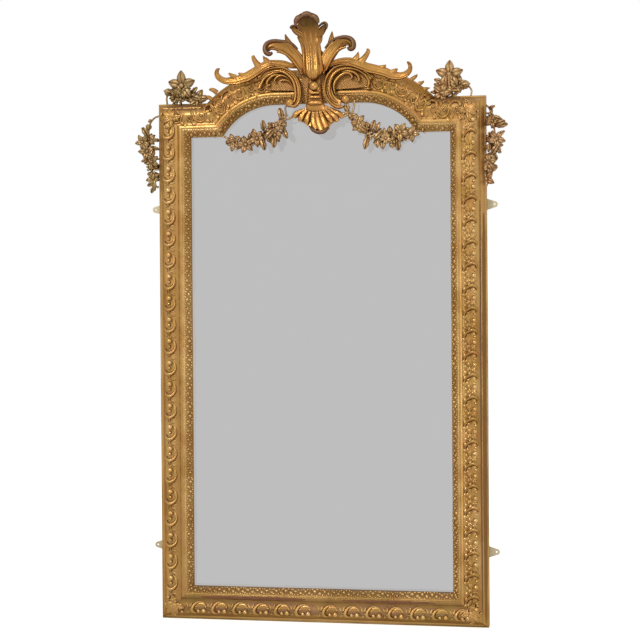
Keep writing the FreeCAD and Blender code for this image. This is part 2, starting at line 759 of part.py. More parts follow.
left_moulding, right_moulding, bottom_moulding, left_shoulder, right_shoulder, arch_moulding = mouldings
floor_depth = float(dims.carcass_depth + (dims.bead_height + dims.ridge_base) / 2 - dims.cove_hollow)
slope_depth = float(dims.carcass_depth + dims.ridge_base) + float(dims.pearl_radius)
stile_x = -float(half_width)
ring_seat = spot(stile_x + float(dims.shell_across), floor_depth + float(dims.shell_ridge) / 2, 0)
pearl_seat = spot(stile_x + float(dims.pearl_across), slope_depth, 0)
motif = [seated(Part.makeTorus(float(dims.shell_ring), float(dims.shell_ridge), ring_seat, ROOM),
                left_moulding),
         seated(Part.makeSphere(float(dims.pearl_radius), pearl_seat), left_moulding)]
corner_clear = float(sight_inset) + float(dims.corner_leaf_length) / 4


def run_places(length):
    """Evenly spaced places between the corner leaves, counted from the middle of a side."""
    count = int((length - 2 * corner_clear) / float(dims.shell_pitch)) + 1
    return [(i - (count - 1) / 2) * float(dims.shell_pitch) for i in range(count)]


def moved(shape, x, z):
    copy = shape.copy()
    copy.translate(Vector(x, 0, z))
    return copy


stile_run = [moved(piece, 0, float(z_middle) + step) for step in run_places(float(dims.frame_height))
             for piece in motif]
carving("left_shell_run", Part.Compound(stile_run))
carving("right_shell_run", Part.Compound([mirrored(piece) for piece in stile_run]))
low_corner = Vector(stile_x, 0, float(z_low))
lying = [moved(piece, 0, float(z_low) + float(half_width)).mirror(low_corner, Vector(1, 0, -1))
         for piece in motif]
bottom_run = [moved(piece, step, 0) for step in run_places(float(dims.frame_width)) for piece in lying]
carving("bottom_shell_run", Part.Compound(bottom_run))

# A leaf over each corner mitre

CORNER_LEAF = ((0, 0.35), (0.25, 0.8), (0.55, 1), (0.8, 0.7), (1, 0.3))
leaf_step = float(dims.corner_leaf_length) / math.sqrt(2)
swell = float(dims.corner_leaf_swell)
corner_spine = []
for along, half in CORNER_LEAF:
    across = float(cove_start) + along * leaf_step
    corner_spine.append((low_corner + Vector(across, -floor_depth - swell / 2, across),
                         half * float(dims.corner_leaf_half), swell * half, 2 * swell))
corner_leaf = seated(leaf(corner_spine), left_moulding, bottom_moulding)
top_leaf = corner_leaf.mirror(Vector(0, 0, float(z_middle)), Vector(0, 0, 1))
carving("corner_leaves", Part.Compound([corner_leaf, mirrored(corner_leaf), top_leaf, mirrored(top_leaf)]))

# Scrolls in the hollow of the arch and the shoulders

hollow_radius = float(arc_at(cove_start + dims.cove_width / 2))
rinceau = []
for step in (1, 2, 3):
    turn = math.radians(step * float(dims.rinceau_step))
    rinceau.append((-float(arch_flat) - hollow_radius * math.sin(turn),
                    float(arch_centre) + hollow_radius * math.cos(turn)))
level_z = float(z_high - cove_start - dims.cove_width / 2)
rinceau.append((-float(half_width) + corner_clear, level_z))
left_rinceau = [seated(Part.makeTorus(float(dims.rinceau_ring), float(dims.shell_ridge),
                                      spot(x, floor_depth + float(dims.shell_ridge) / 2, z), ROOM),
                       arch_moulding, left_shoulder) for x, z in rinceau]
carving("left_rinceau", Part.Compound(left_rinceau))
carving("right_rinceau", Part.Compound([mirrored(piece) for piece in left_rinceau]))

# Crest: a pine block on the crown, and the carvings in front of it

crest_block = new_body("crest_block")
pad(crest_block, draw(crest_block, "Face", "XZ_Plane",
                      [[(-dims.crest_block_half, crown), (dims.crest_block_half, crown),
                        (dims.crest_block_half / 2, crown + dims.crest_block_height),
                        (-dims.crest_block_half / 2, crown + dims.crest_block_height)]],
                      lift=dims.crest_block_back), dims.crest_block_depth)

arch_slip = slips[-1]
scroll_x, scroll_z = -float(dims.scroll_out), crown_z - float(dims.scroll_drop)
scroll_depth = crown_front + float(dims.scroll_band) / 2


def on_scroll(degrees):
    turn = math.radians(degrees)
    return spot(scroll_x + float(dims.scroll_radius) * math.cos(turn), scroll_depth,
                scroll_z + float(dims.scroll_radius) * math.sin(turn))


SCROLL_FROM, SCROLL_TO = -70, 150
band = rod(on_scroll(SCROLL_FROM), on_scroll((SCROLL_FROM + SCROLL_TO) / 2), on_scroll(SCROLL_TO),
           float(dims.scroll_band))[1]
eye_spot = on_scroll(SCROLL_FROM) + Vector(0, 0, float(dims.scroll_eye))
left_scroll = seated(band.fuse(bead(float(dims.scroll_eye), eye_spot)), arch_moulding, arch_slip)
carving("left_scroll", left_scroll)
right_scroll = mirrored(left_scroll)
carving("right_scroll", right_scroll)

neck_z = crown_z - float(dims.neck_drop)
BOSS = ((0.0, 0.85, 0.6), (0.2, 0.75, 0.7), (0.5, 0.8, 0.8), (0.75, 1, 0.6), (1.0, 0.7, 0.3))
boss_spine = [(spot(0, crown_front, neck_z - down * float(dims.boss_height)), half * float(dims.boss_half),
               front * float(dims.boss_depth), float(dims.boss_depth) / 2) for down, half, front in BOSS]
# Down the boss, as shares of its height, and out from the bead, as shares of its depth
BALL_DOWN, BAR_DOWN, HINGE_DOWN = 0.25, (0.45, 0.63), 0.6
BALL_OUT, BAR_OUT = 0.75, 0.6
BAR_HALF = (0.6, 0.8)
ball_depth = crown_front + BALL_OUT * float(dims.boss_depth)
boss_pieces = [leaf(boss_spine), Part.makeSphere(
    float(dims.ball_radius), spot(0, ball_depth, neck_z - BALL_DOWN * float(dims.boss_height)))]
for down, half in zip(BAR_DOWN, BAR_HALF):
    reach = half * float(dims.boss_half)
    end = spot(-reach, crown_front + BAR_OUT * float(dims.boss_depth),
               neck_z - down * float(dims.boss_height))
    boss_pieces.append(Part.makeCylinder(float(dims.bar_radius), 2 * reach, end, Vector(1, 0, 0)))
crest_boss = seated(fused(boss_pieces), arch_moulding, arch_slip, left_scroll, right_scroll)
carving("crest_boss", crest_boss)

FAN_LOBES, SIDE_LOBE = 7, 0.82
hinge_z = neck_z - HINGE_DOWN * float(dims.boss_height)
fan = []
for number in range(FAN_LOBES):
    turn = math.radians(float(dims.fan_spread) * (number / (FAN_LOBES - 1) - 0.5))
    share = SIDE_LOBE + (1 - SIDE_LOBE) * math.cos(turn) ** 2
    length = float(dims.fan_length) * share - float(dims.fan_lobe)
    tip = spot(length * math.sin(turn), crown_front - float(dims.fan_lobe), hinge_z - length * math.cos(turn))
    hinge = spot(0, crown_front + float(dims.fan_lobe) / 2, hinge_z)
    run = tip - hinge
    fan.append(Part.makeCone(float(dims.fan_lobe) / 2, float(dims.fan_lobe), run.Length, hinge, run))
    fan.append(Part.makeSphere(float(dims.fan_lobe), tip))
crest_shell = seated(fused(fan), arch_moulding, arch_slip, crest_boss, left_scroll, right_scroll)
carving("crest_shell", crest_shell)

# The plumes' stations are shares of each plume's own sizes:
# (up from the neck, towards the room, half width, swell)

PLUME = ((0.0, 0.0, 0.42, 0.7), (0.16, 0.04, 0.56, 1.0), (0.36, 0.1, 0.58, 0.9), (0.56, 0.2, 0.62, 0.6),
         (0.76, 0.36, 1.0, 0.4), (0.9, 0.56, 0.68, 0.3), (0.96, 0.78, 0.6, 0.25), (0.88, 0.98, 0.4, 0.2))
plume_depth = crown_front + float(dims.plume_swell) / 2
plume_spine = [(spot(0, plume_depth + out * float(dims.plume_lean), neck_z + up * float(dims.plume_height)),
                half * float(dims.plume_half), swell * float(dims.plume_swell),
                swell * float(dims.plume_swell)) for up, out, half, swell in PLUME]
plume = seated(leaf(plume_spine, Vector(1, 0, 0)), crest_block, crest_boss, arch_moulding,
               left_scroll, right_scroll)
carving("centre_plume", plume)

# (out from the middle, up from the neck, half width, towards the room)
SIDE_SWELL = 0.6
SIDE_PLUME = ((0.2, 0.06, 0.8, 0.0), (0.3, 0.43, 0.9, 0.04), (0.47, 0.76, 1.0, 0.08), (0.7, 0.91, 0.8, 0.14),
              (0.91, 0.85, 0.65, 0.2), (1.0, 0.69, 0.5, 0.23), (0.93, 0.58, 0.35, 0.23))
side_swell = SIDE_SWELL * float(dims.side_plume_half)
side_spine = [(spot(-out * float(dims.side_plume_reach), plume_depth + room * float(dims.plume_lean),
                    neck_z + up * float(dims.side_plume_height)),
               half * float(dims.side_plume_half), side_swell, side_swell)
              for out, up, half, room in SIDE_PLUME]
left_plume = seated(leaf(side_spine), crest_block, plume, crest_boss, arch_moulding, left_scroll)
carving("left_plume", left_plume)
carving("right_plume", mirrored(left_plume))

# (share of the reach, above the arch's outer edge in half widths, half width)
ACANTHUS = ((0.2, 0.4, 0.55), (0.385, 0.3, 0.85), (0.56, -0.2, 1.0), (0.72, -0.45, 0.85), (0.855, -0.1, 0.6),
            (0.955, 1.0, 0.38), (0.99, 2.1, 0.2))


def arch_edge(x):
    beyond = max(abs(x) - float(arch_flat), 0)
    return float(arch_centre) + math.sqrt(float(arc_at(NONE)) ** 2 - beyond ** 2)


acanthus_reach = float(arch_flat + dims.acanthus_run)
acanthus_spine = []
for out, above, half in ACANTHUS:
    x = -out * acanthus_reach
    acanthus_spine.append((spot(x, crown_front, arch_edge(x) + above * float(dims.acanthus_half)),
                           half * float(dims.acanthus_half), float(dims.acanthus_swell),
                           float(dims.acanthus_swell)))
acanthus = seated(leaf(acanthus_spine), arch_moulding, crest_block, left_scroll, left_plume, plume,
                  crest_boss)
carving("left_acanthus", acanthus)
carving("right_acanthus", mirrored(acanthus))

# Flowers cast on stiff wire: a star of petals, extruded towards the room

PETAL_NOTCH, HEART_SHARE, FLOWER_LEAN, GARLAND_PETALS = 0.5, 0.4, 18, 5
END_FLOWER = 0.55
LEAN_AXIS = Vector(1, 0, 0.4)


def flower(middle, radius, petals, lean):
    """A star whose face leans from the room's direction by some degrees."""
    tips = []
    for i in range(2 * petals):
        turn = math.pi * i / petals + math.pi / 2
        reach = radius if i % 2 == 0 else radius * PETAL_NOTCH
        tips.append(Vector(reach * math.cos(turn), 0, reach * math.sin(turn)))
    star = Part.Face(Part.makePolygon(tips + tips[:1]))
    thick = float(dims.flower_thickness)
    solid = star.extrude(Vector(0, -thick, 0))
    solid.translate(Vector(0, thick / 2, 0))
    heart = bead(radius * HEART_SHARE, Vector(0, -thick / 2, 0))
    solid = solid.fuse(heart)
    solid.Placement = Placement(middle, Rotation(LEAN_AXIS, lean))
    return solid


def garland(first, via, last, count):
    """A wire arc with flowers along it, largest at its middle, and buds between them."""
    line, wire = rod(first, via, last, float(dims.wire_radius))
    pieces = [wire]
    for i in range(count):
        share = (i + 1) / (count + 1)
        here = line.valueAt(line.FirstParameter + share * (line.LastParameter - line.FirstParameter))
        radius = float(dims.flower_radius) * (END_FLOWER + (1 - END_FLOWER) * math.sin(math.pi * share))
        pieces.append(flower(here, radius, GARLAND_PETALS, FLOWER_LEAN if i % 2 else -FLOWER_LEAN))
        share = (i + 0.5) / (count + 1)
        here = line.valueAt(line.FirstParameter + share * (line.LastParameter - line.FirstParameter))
        pieces.append(bead(float(dims.bud_radius), here))
    return fused(pieces)


SWAG_FLOWERS, DROP_FLOWERS, SPRAY_PETALS = 5, 5, 6
SPRAY_LEAN = -12
sight_level = float(z_high - sight_inset)
sight_kink = float(kink_at(sight_inset))
into_slip = float(dims.slip_width) / 2
swag_low = spot(-(float(dims.scroll_out) + sight_kink) / 2 + float(dims.flower_radius),
                float(dims.swag_lift), sight_level - float(dims.swag_depth))
swag_end = spot(-sight_kink - into_slip, float(dims.swag_lift) - into_slip, sight_level + into_slip)
swag = seated(garland(eye_spot, swag_low, swag_end, SWAG_FLOWERS), left_scroll, arch_slip, slips[3],
              arch_moulding, left_shoulder, crest_shell)
carving("left_swag", swag)
carving("right_swag", mirrored(swag))

drop_top = float(z_high - dims.drop_top)
drop_low = drop_top - float(dims.drop_length)
drop_depth = float(dims.drop_lift)
drop = seated(garland(spot(stile_x + float(dims.bud_radius), drop_depth, drop_top),
                      spot(stile_x - float(dims.drop_bow), drop_depth, (drop_top + drop_low) / 2),
                      spot(stile_x - float(dims.bud_radius), drop_depth, drop_low),
                      DROP_FLOWERS), left_stile, left_moulding, head_board)
carving("left_drop", drop)
carving("right_drop", mirrored(drop))

spray_x = -float(half_width - dims.spray_inset)
spray_middle = spot(spray_x, float(dims.spray_lift), float(z_high + dims.spray_height))
foot = spot(spray_x, float(dims.spray_lift), float(z_high))
bud_out = Vector(-float(dims.spray_radius), 0, -float(dims.spray_height) / 2)
spray_pieces = [flower(spray_middle, float(dims.spray_radius), SPRAY_PETALS, SPRAY_LEAN),
                Part.makeCylinder(float(dims.wire_radius), float(dims.spray_height), foot),
                Part.makeCylinder(float(dims.wire_radius), float(dims.spray_height) / 2,
                                  foot + Vector(bud_out.x, 0, 0)),
                bead(float(dims.spray_bud), spray_middle + bud_out)]
for side in (-1, 1):
    seat = foot + Vector(side * float(dims.spray_radius) / 2, 0, float(dims.spray_bud))
    spray_pieces.append(bead(float(dims.spray_bud), seat))
spray = seated(fused(spray_pieces), head_board, left_shoulder)
carving("left_spray", spray)
carving("right_spray", mirrored(spray))

# Check everything, then write one file for each sub-part

doc.recompute()
for thing in doc.Objects:
    if "Invalid" in thing.State or "Error" in thing.State:
        raise RuntimeError(f"{thing.Label} failed: {thing.State}")
for thing in sub_parts:
    if thing.Shape.isNull() or not thing.Shape.isValid():
        raise RuntimeError(f"{thing.Label} has a bad shape")
os.makedirs("parts", exist_ok=True)
for thing in sub_parts:
    thing.Shape.exportStep(f"parts/{thing.Label}.step")
    print(thing.Label, len(thing.Shape.Solids), round(thing.Shape.Volume))
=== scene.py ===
# %% [markdown]
# # A giltwood mirror with a raised arch
# The real object is a tall mirror in a gilded frame: a pine carcass, moulded lengths covered in gesso, red
# clay and gold leaf, ornament laid in the hollow, a crest of plumes and scrolls on top, and flower garlands
# cast in composition on wire. All of it could be modelled here from nothing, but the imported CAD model
# already carries the sizes and the joints, so this lesson loads that model and dresses it.

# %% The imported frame
import math

import bmesh
import bpy
import numpy as np
from mathutils import Matrix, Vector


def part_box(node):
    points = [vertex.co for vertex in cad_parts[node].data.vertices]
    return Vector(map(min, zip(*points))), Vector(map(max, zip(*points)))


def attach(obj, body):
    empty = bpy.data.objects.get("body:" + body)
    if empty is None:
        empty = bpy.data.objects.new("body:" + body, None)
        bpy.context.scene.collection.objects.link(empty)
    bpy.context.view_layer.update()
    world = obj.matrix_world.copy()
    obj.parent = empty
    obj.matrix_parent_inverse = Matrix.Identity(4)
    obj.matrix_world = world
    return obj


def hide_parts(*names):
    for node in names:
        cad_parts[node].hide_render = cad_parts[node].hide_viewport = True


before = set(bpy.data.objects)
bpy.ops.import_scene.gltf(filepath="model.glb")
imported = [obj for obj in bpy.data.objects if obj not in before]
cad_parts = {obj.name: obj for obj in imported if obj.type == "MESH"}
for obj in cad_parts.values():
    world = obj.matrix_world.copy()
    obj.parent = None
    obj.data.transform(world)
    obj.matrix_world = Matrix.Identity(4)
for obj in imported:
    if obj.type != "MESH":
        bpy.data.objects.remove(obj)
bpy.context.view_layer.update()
scene = bpy.context.scene
scene.view_settings.view_transform = "Standard"
MM = 0.001
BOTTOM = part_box("bottom_rail")[0][2]

# %% [markdown]
# ## The camera
# The photograph was taken from a little to the right of the middle, about four metres away. A camera could
# be set by eye, but it drifts with each corner that is checked. So the place, the direction and the lens
# were solved from the corners of the frame, the sight edge and the wall plates. The picture is shifted
# slightly, which the camera's shift repeats.

# %% Camera
PIXELS, FOCAL_PIXELS, SENSOR = 640, 1417.03, 36
EYE = (0.65198, -4.04827, 0.24799)
YAW, PITCH, ROLL = -0.1613, -0.0043, -0.0070
SHIFT_PIXELS = (0.3066, -21.916)


def camera_axes():
    forward = np.array((math.sin(YAW) * math.cos(PITCH), math.cos(YAW) * math.cos(PITCH), math.sin(PITCH)))
    level = np.array((math.cos(YAW), -math.sin(YAW), 0))
    upright = np.cross(level, forward)
    right = level * math.cos(ROLL) + upright * math.sin(ROLL)
    return right, upright * math.cos(ROLL) - level * math.sin(ROLL), forward


right, upward, forward = camera_axes()
camera_data = bpy.data.cameras.new("camera")
camera_data.sensor_width = SENSOR
camera_data.lens = FOCAL_PIXELS / PIXELS * SENSOR
camera_data.shift_x = -SHIFT_PIXELS[0] / PIXELS
camera_data.shift_y = SHIFT_PIXELS[1] / PIXELS
camera = bpy.data.objects.new("camera", camera_data)
scene.collection.objects.link(camera)
camera.matrix_world = Matrix(np.column_stack((right, upward, -forward)).tolist()).to_4x4()
camera.location = EYE
scene.camera = camera
print("camera lens", round(camera_data.lens, 2), "mm")

# %% [markdown]
# ## Helpers for nodes and colours
# Every finish and every repeat below is a tree of nodes. They could be wired by hand in Blender's editors,
# but a script stays readable and gives the same tree each time. One function adds a node, sets its
# properties and feeds its inputs, from values or from other nodes' sockets. Colours are written as the hex
# values a painter would read off a screen, and one function turns them to the linear light of a render.


# %% Nodes and colours
def add(tree, kind, feeds=None, **settings):
    node = tree.nodes.new(kind)
    for key, value in settings.items():
        setattr(node, key, value)
    for key, value in (feeds or {}).items():
        if isinstance(value, bpy.types.NodeSocket):
            tree.links.new(value, node.inputs[key])
        else:
            node.inputs[key].default_value = value
    return node


def colour(text):
    values = [int(text[i:i + 2], 16) / 255 for i in (1, 3, 5)]
    return [v / 12.92 if v <= 0.04045 else ((v + 0.055) / 1.055) ** 2.4 for v in values] + [1]


def new_material(name):
    material = bpy.data.materials.new(name)
    material.use_nodes = True
    material.node_tree.nodes.clear()
    return material, material.node_tree


# Inputs go by name, or by number where several share a name: in a mix of colours the share, and the colours
# under and over it
SHARE, UNDER, OVER = 0, 6, 7
print("mid grey is", [round(v, 3) for v in colour("#BEBEBE")])

# %% [markdown]
# ## Stage and light
# The photograph has a plain white ground. More light on it would also bleach the gold, so the world and the
# floor are white only to the camera and to reflections, and a soft grey to everything else. Three soft
# lamps stand for the studio: a key from the upper left, a wide fill from the right and a weak top light.

# %% White ground
world = bpy.data.worlds.new("studio")
scene.world = world
world.use_nodes = True
sky = world.node_tree
sky.nodes.clear()
rays = add(sky, "ShaderNodeLightPath").outputs
seen = add(sky, "ShaderNodeMath", {0: rays["Is Camera Ray"], 1: rays["Is Glossy Ray"]}, operation="MAXIMUM")
seen = add(sky, "ShaderNodeMath", {0: seen.outputs[0], 1: rays["Is Transmission Ray"]}, operation="MAXIMUM")
soft = add(sky, "ShaderNodeBackground", {"Color": colour("#D4D0CC"), "Strength": 0.95})
white = add(sky, "ShaderNodeBackground", {"Color": colour("#FFFFFF"), "Strength": 1})
ground_light = add(sky, "ShaderNodeMixShader", {0: seen.outputs[0], 1: soft.outputs[0], 2: white.outputs[0]})
add(sky, "ShaderNodeOutputWorld", {"Surface": ground_light.outputs[0]})
print("world of", len(sky.nodes), "nodes")


# %% Lamps
def lamp(name, place, target, size, power):
    """A round soft lamp: its size in metres, its power in watts."""
    data = bpy.data.lights.new(name, "AREA")
    data.shape, data.size, data.energy = "DISK", size, power
    light = bpy.data.objects.new(name, data)
    scene.collection.objects.link(light)
    aim = np.array(target) - place
    away = -aim / np.linalg.norm(aim)
    flat = np.cross((0, 0, 1), away)
    flat /= np.linalg.norm(flat)
    light.matrix_world = Matrix(np.column_stack((flat, np.cross(away, flat), away)).tolist()).to_4x4()
    light.location = place
    return light


MIDDLE = (0, 0, 0.15)
for name, place, size, power in (("key", (-1.1, -3.2, 2.3), 0.8, 58), ("fill", (1.7, -3.2, -0.3), 1.4, 24),
                                 ("top", (0.2, -1.5, 3.2), 1.5, 6)):
    print("lamp", lamp(name, place, MIDDLE, size, power).name, power, "W")

# %% Floor
FLOOR_HALF = 6.0
CORNERS = ((-1, -1), (1, -1), (1, 1), (-1, 1))
floor_mesh = bpy.data.meshes.new("floor")
floor_mesh.from_pydata([(sx * FLOOR_HALF, sy * FLOOR_HALF, BOTTOM) for sx, sy in CORNERS], [], [(0, 1, 2, 3)])
floor = bpy.data.objects.new("floor", floor_mesh)
scene.collection.objects.link(floor)

# Matt white paper: an even pale grey that keeps the shadow, lifted to near white where the camera sees it
paper, sheet_tree = new_material("matt_white_paper")
rays = add(sheet_tree, "ShaderNodeLightPath").outputs
mirrored = add(sheet_tree, "ShaderNodeMath",
               {0: rays["Is Glossy Ray"], 1: rays["Is Transmission Ray"]}, operation="MAXIMUM")
matt = add(sheet_tree, "ShaderNodeBsdfDiffuse", {"Color": colour("#D8D8D8")})
glow = add(sheet_tree, "ShaderNodeEmission", {"Color": colour("#FFFFFF"), "Strength": 0.8})
white = add(sheet_tree, "ShaderNodeEmission", {"Color": colour("#FFFFFF"), "Strength": 1})
lit = add(sheet_tree, "ShaderNodeAddShader", {0: matt.outputs[0], 1: glow.outputs[0]})
shown = add(sheet_tree, "ShaderNodeMixShader",
            {0: rays["Is Camera Ray"], 1: matt.outputs[0], 2: lit.outputs[0]})
paper_light = add(sheet_tree, "ShaderNodeMixShader",
                  {0: mirrored.outputs[0], 1: shown.outputs[0], 2: white.outputs[0]})
add(sheet_tree, "ShaderNodeOutputMaterial", {"Surface": paper_light.outputs[0]})
floor_mesh.materials.append(paper)
print("floor at", BOTTOM)

# %% [markdown]
# ## Gilding
# Gold leaf lies on red clay (bole) over white gesso. It is a soft metal sheen, not a polished one. Long use
# rubs it through to the clay, grime browns it and dust greys whatever faces up. Painted shade darkens its
# hollows and the top of the crest, and a painted highlight lies on its ridges. Each tone could be a tree of its
# own, but the ageing and the painted light are the same everywhere. So there is one recipe in three steps,
# the tone of the leaf, the dirt and painted shade on it, and its skin, and each gilding on the frame only
# gives it other values.

# %% The leaf's tone
# In millimetres: one leaf of gold, a drift of its tint, a spot rubbed down to the clay
LEAF_PATCH, TINT_PATCH, RUBBED_SPOT = 80, 45, 14
# Tints that come and go, and the colour of the painted shade under the plume's hood
GREEN_TINT, ROSE_TINT, HOOD_SHADE = "#947E44", "#AA7656", "#5E3C1A"


def leaf_tone(tree, coords, shape, gold_pair, bright, clay, wear, shade_heights):
    # Two gold tones, one leaf of gold beside the next
    patch = add(tree, "ShaderNodeTexNoise", {"Vector": coords, "Scale": 1 / (LEAF_PATCH * MM), "Detail": 4})
    tone = add(tree, "ShaderNodeMix",
               {SHARE: patch.outputs[0], UNDER: colour(gold_pair[0]), OVER: colour(gold_pair[1])},
               data_type="RGBA")

    # Greener and rosier tints come and go
    drift = add(tree, "ShaderNodeTexNoise",
                {"Vector": coords, "Scale": 1 / (TINT_PATCH * MM), "Detail": 3, "W": 2}, noise_dimensions="4D")
    tint = add(tree, "ShaderNodeValToRGB", {0: drift.outputs[0]})
    for stop, position, shade in zip(tint.color_ramp.elements, (0.35, 0.65), (GREEN_TINT, ROSE_TINT)):
        stop.position, stop.color = position, colour(shade)
    tone = add(tree, "ShaderNodeMix", {SHARE: 0.22, UNDER: tone.outputs[2], OVER: tint.outputs[0]},
               data_type="RGBA")

    # Spots rubbed through to the clay
    rub = add(tree, "ShaderNodeTexNoise",
              {"Vector": coords, "Scale": 1 / (RUBBED_SPOT * MM), "Detail": 6, "Roughness": 0.65})
    rubbed = add(tree, "ShaderNodeMapRange", {"Value": rub.outputs[0], "From Min": wear, "From Max": wear + 0.1,
                                              "To Min": 0.0, "To Max": 0.7})
    tone = add(tree, "ShaderNodeMix", {SHARE: rubbed.outputs[0], UNDER: tone.outputs[2], OVER: colour(clay)},
               data_type="RGBA")

    # Ridges get the brightest gold: partly polish from hands and cloths, partly a painted highlight on the
    # edges
    ridge = add(tree, "ShaderNodeMapRange", {"Value": shape["Pointiness"], "From Min": 0.53, "From Max": 0.62,
                                             "To Min": 0.0, "To Max": 0.8})
    spared = add(tree, "ShaderNodeMapRange",
                 {"Value": patch.outputs[0], "From Min": 0.4, "From Max": 0.6, "To Min": 0.1, "To Max": 1.0})
    polish_and_highlight = add(tree, "ShaderNodeMath", {0: ridge.outputs[0], 1: spared.outputs[0]}, operation="MULTIPLY")
    tone = add(tree, "ShaderNodeMix", {SHARE: polish_and_highlight.outputs[0], UNDER: tone.outputs[2], OVER: colour(bright)},
               data_type="RGBA")

    if shade_heights:
        # Painted shade under the plume's hood: the gold browns from one height up to another, in metres
        height = add(tree, "ShaderNodeSeparateXYZ", {0: coords})
        hood_shaded = add(tree, "ShaderNodeMapRange", {"Value": height.outputs["Z"], "From Min": shade_heights[0],
                                                  "From Max": shade_heights[1], "To Min": 0.0, "To Max": 0.7})
        tone = add(tree, "ShaderNodeMix",
                   {SHARE: hood_shaded.outputs[0], UNDER: tone.outputs[2], OVER: colour(HOOD_SHADE)}, data_type="RGBA")
    return tone.outputs[2]


print("leaves of gold,", LEAF_PATCH, "mm wide")

# %% Grime, painted shade and dust
GRIME_AND_SHADE_REACH = 9  # millimetres


def settled_dirt_and_shade(tree, shape, tone, grime_and_shade, dust):
    # Darker in the hollows: grime that a cloth doesn't reach, and painted shade where the light doesn't
    hollow = add(tree, "ShaderNodeAmbientOcclusion", {"Distance": GRIME_AND_SHADE_REACH * MM}, samples=6)
    deep = add(tree, "ShaderNodeMapRange", {"Value": hollow.outputs["AO"], "From Min": 0.2, "From Max": 0.75,
                                            "To Min": 0.65, "To Max": 0.0})
    dirty_and_shaded = add(tree, "ShaderNodeMix", {SHARE: deep.outputs[0], UNDER: tone, OVER: colour(grime_and_shade)},
                data_type="RGBA")

    # Dust lies on whatever faces up, and hides the metal there
    facing = add(tree, "ShaderNodeSeparateXYZ", {0: shape["Normal"]})
    settled = add(tree, "ShaderNodeMapRange", {"Value": facing.outputs["Z"], "From Min": 0.7, "From Max": 0.98,
                                               "To Min": 0.0, "To Max": 0.7})
    dusty = add(tree, "ShaderNodeMix", {SHARE: settled.outputs[0], UNDER: dirty_and_shaded.outputs[2], OVER: colour(dust)},
                data_type="RGBA")
    metal = add(tree, "ShaderNodeMapRange",
                {"Value": settled.outputs[0], "From Min": 0.0, "From Max": 1.0, "To Min": 0.85, "To Max": 0.3})
    return dusty.outputs[2], metal.outputs[0]


print("grime in hollows up to", GRIME_AND_SHADE_REACH, "mm wide")

# %% Wrinkles and cuts
# In millimetres. Real wrinkles of the leaf are finer, and are drawn at 3 mm so that they show
WRINKLE, WRINKLE_DEPTH, CUT_DEPTH = 3, 0.6, 1.2
WAVE_LENGTH = 0.314  # of Blender's wave texture at a scale of 1


def leaf_skin(tree, coords, roughness, hatch):
    grain = add(tree, "ShaderNodeTexNoise", {"Vector": coords, "Scale": 1 / (WRINKLE * MM), "Detail": 3})
    gloss = add(tree, "ShaderNodeMapRange", {"Value": grain.outputs[0], "From Min": 0.3, "From Max": 0.7,
                                             "To Min": roughness - 0.08, "To Max": roughness + 0.1})
    skin = add(tree, "ShaderNodeBump",
               {"Height": grain.outputs[0], "Strength": 0.07, "Distance": WRINKLE_DEPTH * MM})
    for slant in (45, -45) if hatch else ():
        # Crossed cuts of a carver's veiner, so many millimetres apart
        laid = add(tree, "ShaderNodeMapping", {"Vector": coords, "Rotation": (0, math.radians(slant), 0)})
        cuts = add(tree, "ShaderNodeTexWave", {"Vector": laid.outputs[0], "Scale": WAVE_LENGTH / (hatch * MM)})
        skin = add(tree, "ShaderNodeBump", {"Height": cuts.outputs[0], "Strength": 0.4,
                                            "Distance": CUT_DEPTH * MM, "Normal": skin.outputs[0]})
    return gloss.outputs[0], skin.outputs[0]


print("wrinkles", WRINKLE, "mm wide")

# %% The gilding recipe
GOLD_SHEEN = "#BC9048"


def gilding(name, gold_pair, bright, clay, grime_and_shade, dust, wear, roughness, hatch=0, shade_heights=None):
    material, tree = new_material(name)
    coords = add(tree, "ShaderNodeTexCoord").outputs["Object"]
    shape = add(tree, "ShaderNodeNewGeometry").outputs
    tone = leaf_tone(tree, coords, shape, gold_pair, bright, clay, wear, shade_heights)
    aged_and_shaded, metal = settled_dirt_and_shade(tree, shape, tone, grime_and_shade, dust)
    gloss, skin = leaf_skin(tree, coords, roughness, hatch)
    shader = add(tree, "ShaderNodeBsdfPrincipled", {"Base Color": aged_and_shaded, "Metallic": metal, "Roughness": gloss,
                                                    "Normal": skin, "Specular Tint": colour(GOLD_SHEEN)})
    add(tree, "ShaderNodeOutputMaterial", {"Surface": shader.outputs[0]})
    print("gilding", name)
    return material


# Leaf on the plain mouldings: a soft, warm sheen that browns away from the light
wood_gilding = gilding("gold_leaf_on_bole", ("#9A7038", "#A97F46"), bright="#D2AC70", clay="#7A4A30",
                       grime_and_shade="#553A1C", dust="#8A7460", wear=0.66, roughness=0.38)
# Leaf in the hollow of the bottom rail, made darker: brown, with hardly a light
dark_hollow_gilding = gilding("rubbed_gold_leaf", ("#7C5C3E", "#8A6A4A"), bright="#8A5C3C", clay="#6E3C28",
                       grime_and_shade="#4E3626", dust="#80695C", wear=0.58, roughness=0.5)
# Leaf burnished with a stone, on the crest: bright ridges, partly painted highlight, and painted shade
# browning it near the top, under the hood
crest_gilding = gilding("burnished_gold_leaf", ("#AC7A3C", "#C08E4C"), bright="#F2CC98", clay="#7A4A2C",
                        grime_and_shade="#54320F", dust="#7E6658", wear=0.68, roughness=0.31, shade_heights=(0.91, 0.99))
# Leaf made paler on shells, slips and corner casts: lighter than the mouldings, with clear lights
bright_gilding = gilding("rubbed_bright_gold_leaf", ("#A27A40", "#B28A50"), bright="#E0BE84", clay="#84552F",
                         grime_and_shade="#7A5630", dust="#94806A", wear=0.66, roughness=0.38)
# Leaf under old dust, on the rolled tips of the crest: greyish brown, almost matt
dusty_gilding = gilding("dusty_gold_leaf", ("#5A4236", "#6C5040"), bright="#8E7058", clay="#52362A",
                        grime_and_shade="#36220F", dust="#58463F", wear=0.62, roughness=0.5)
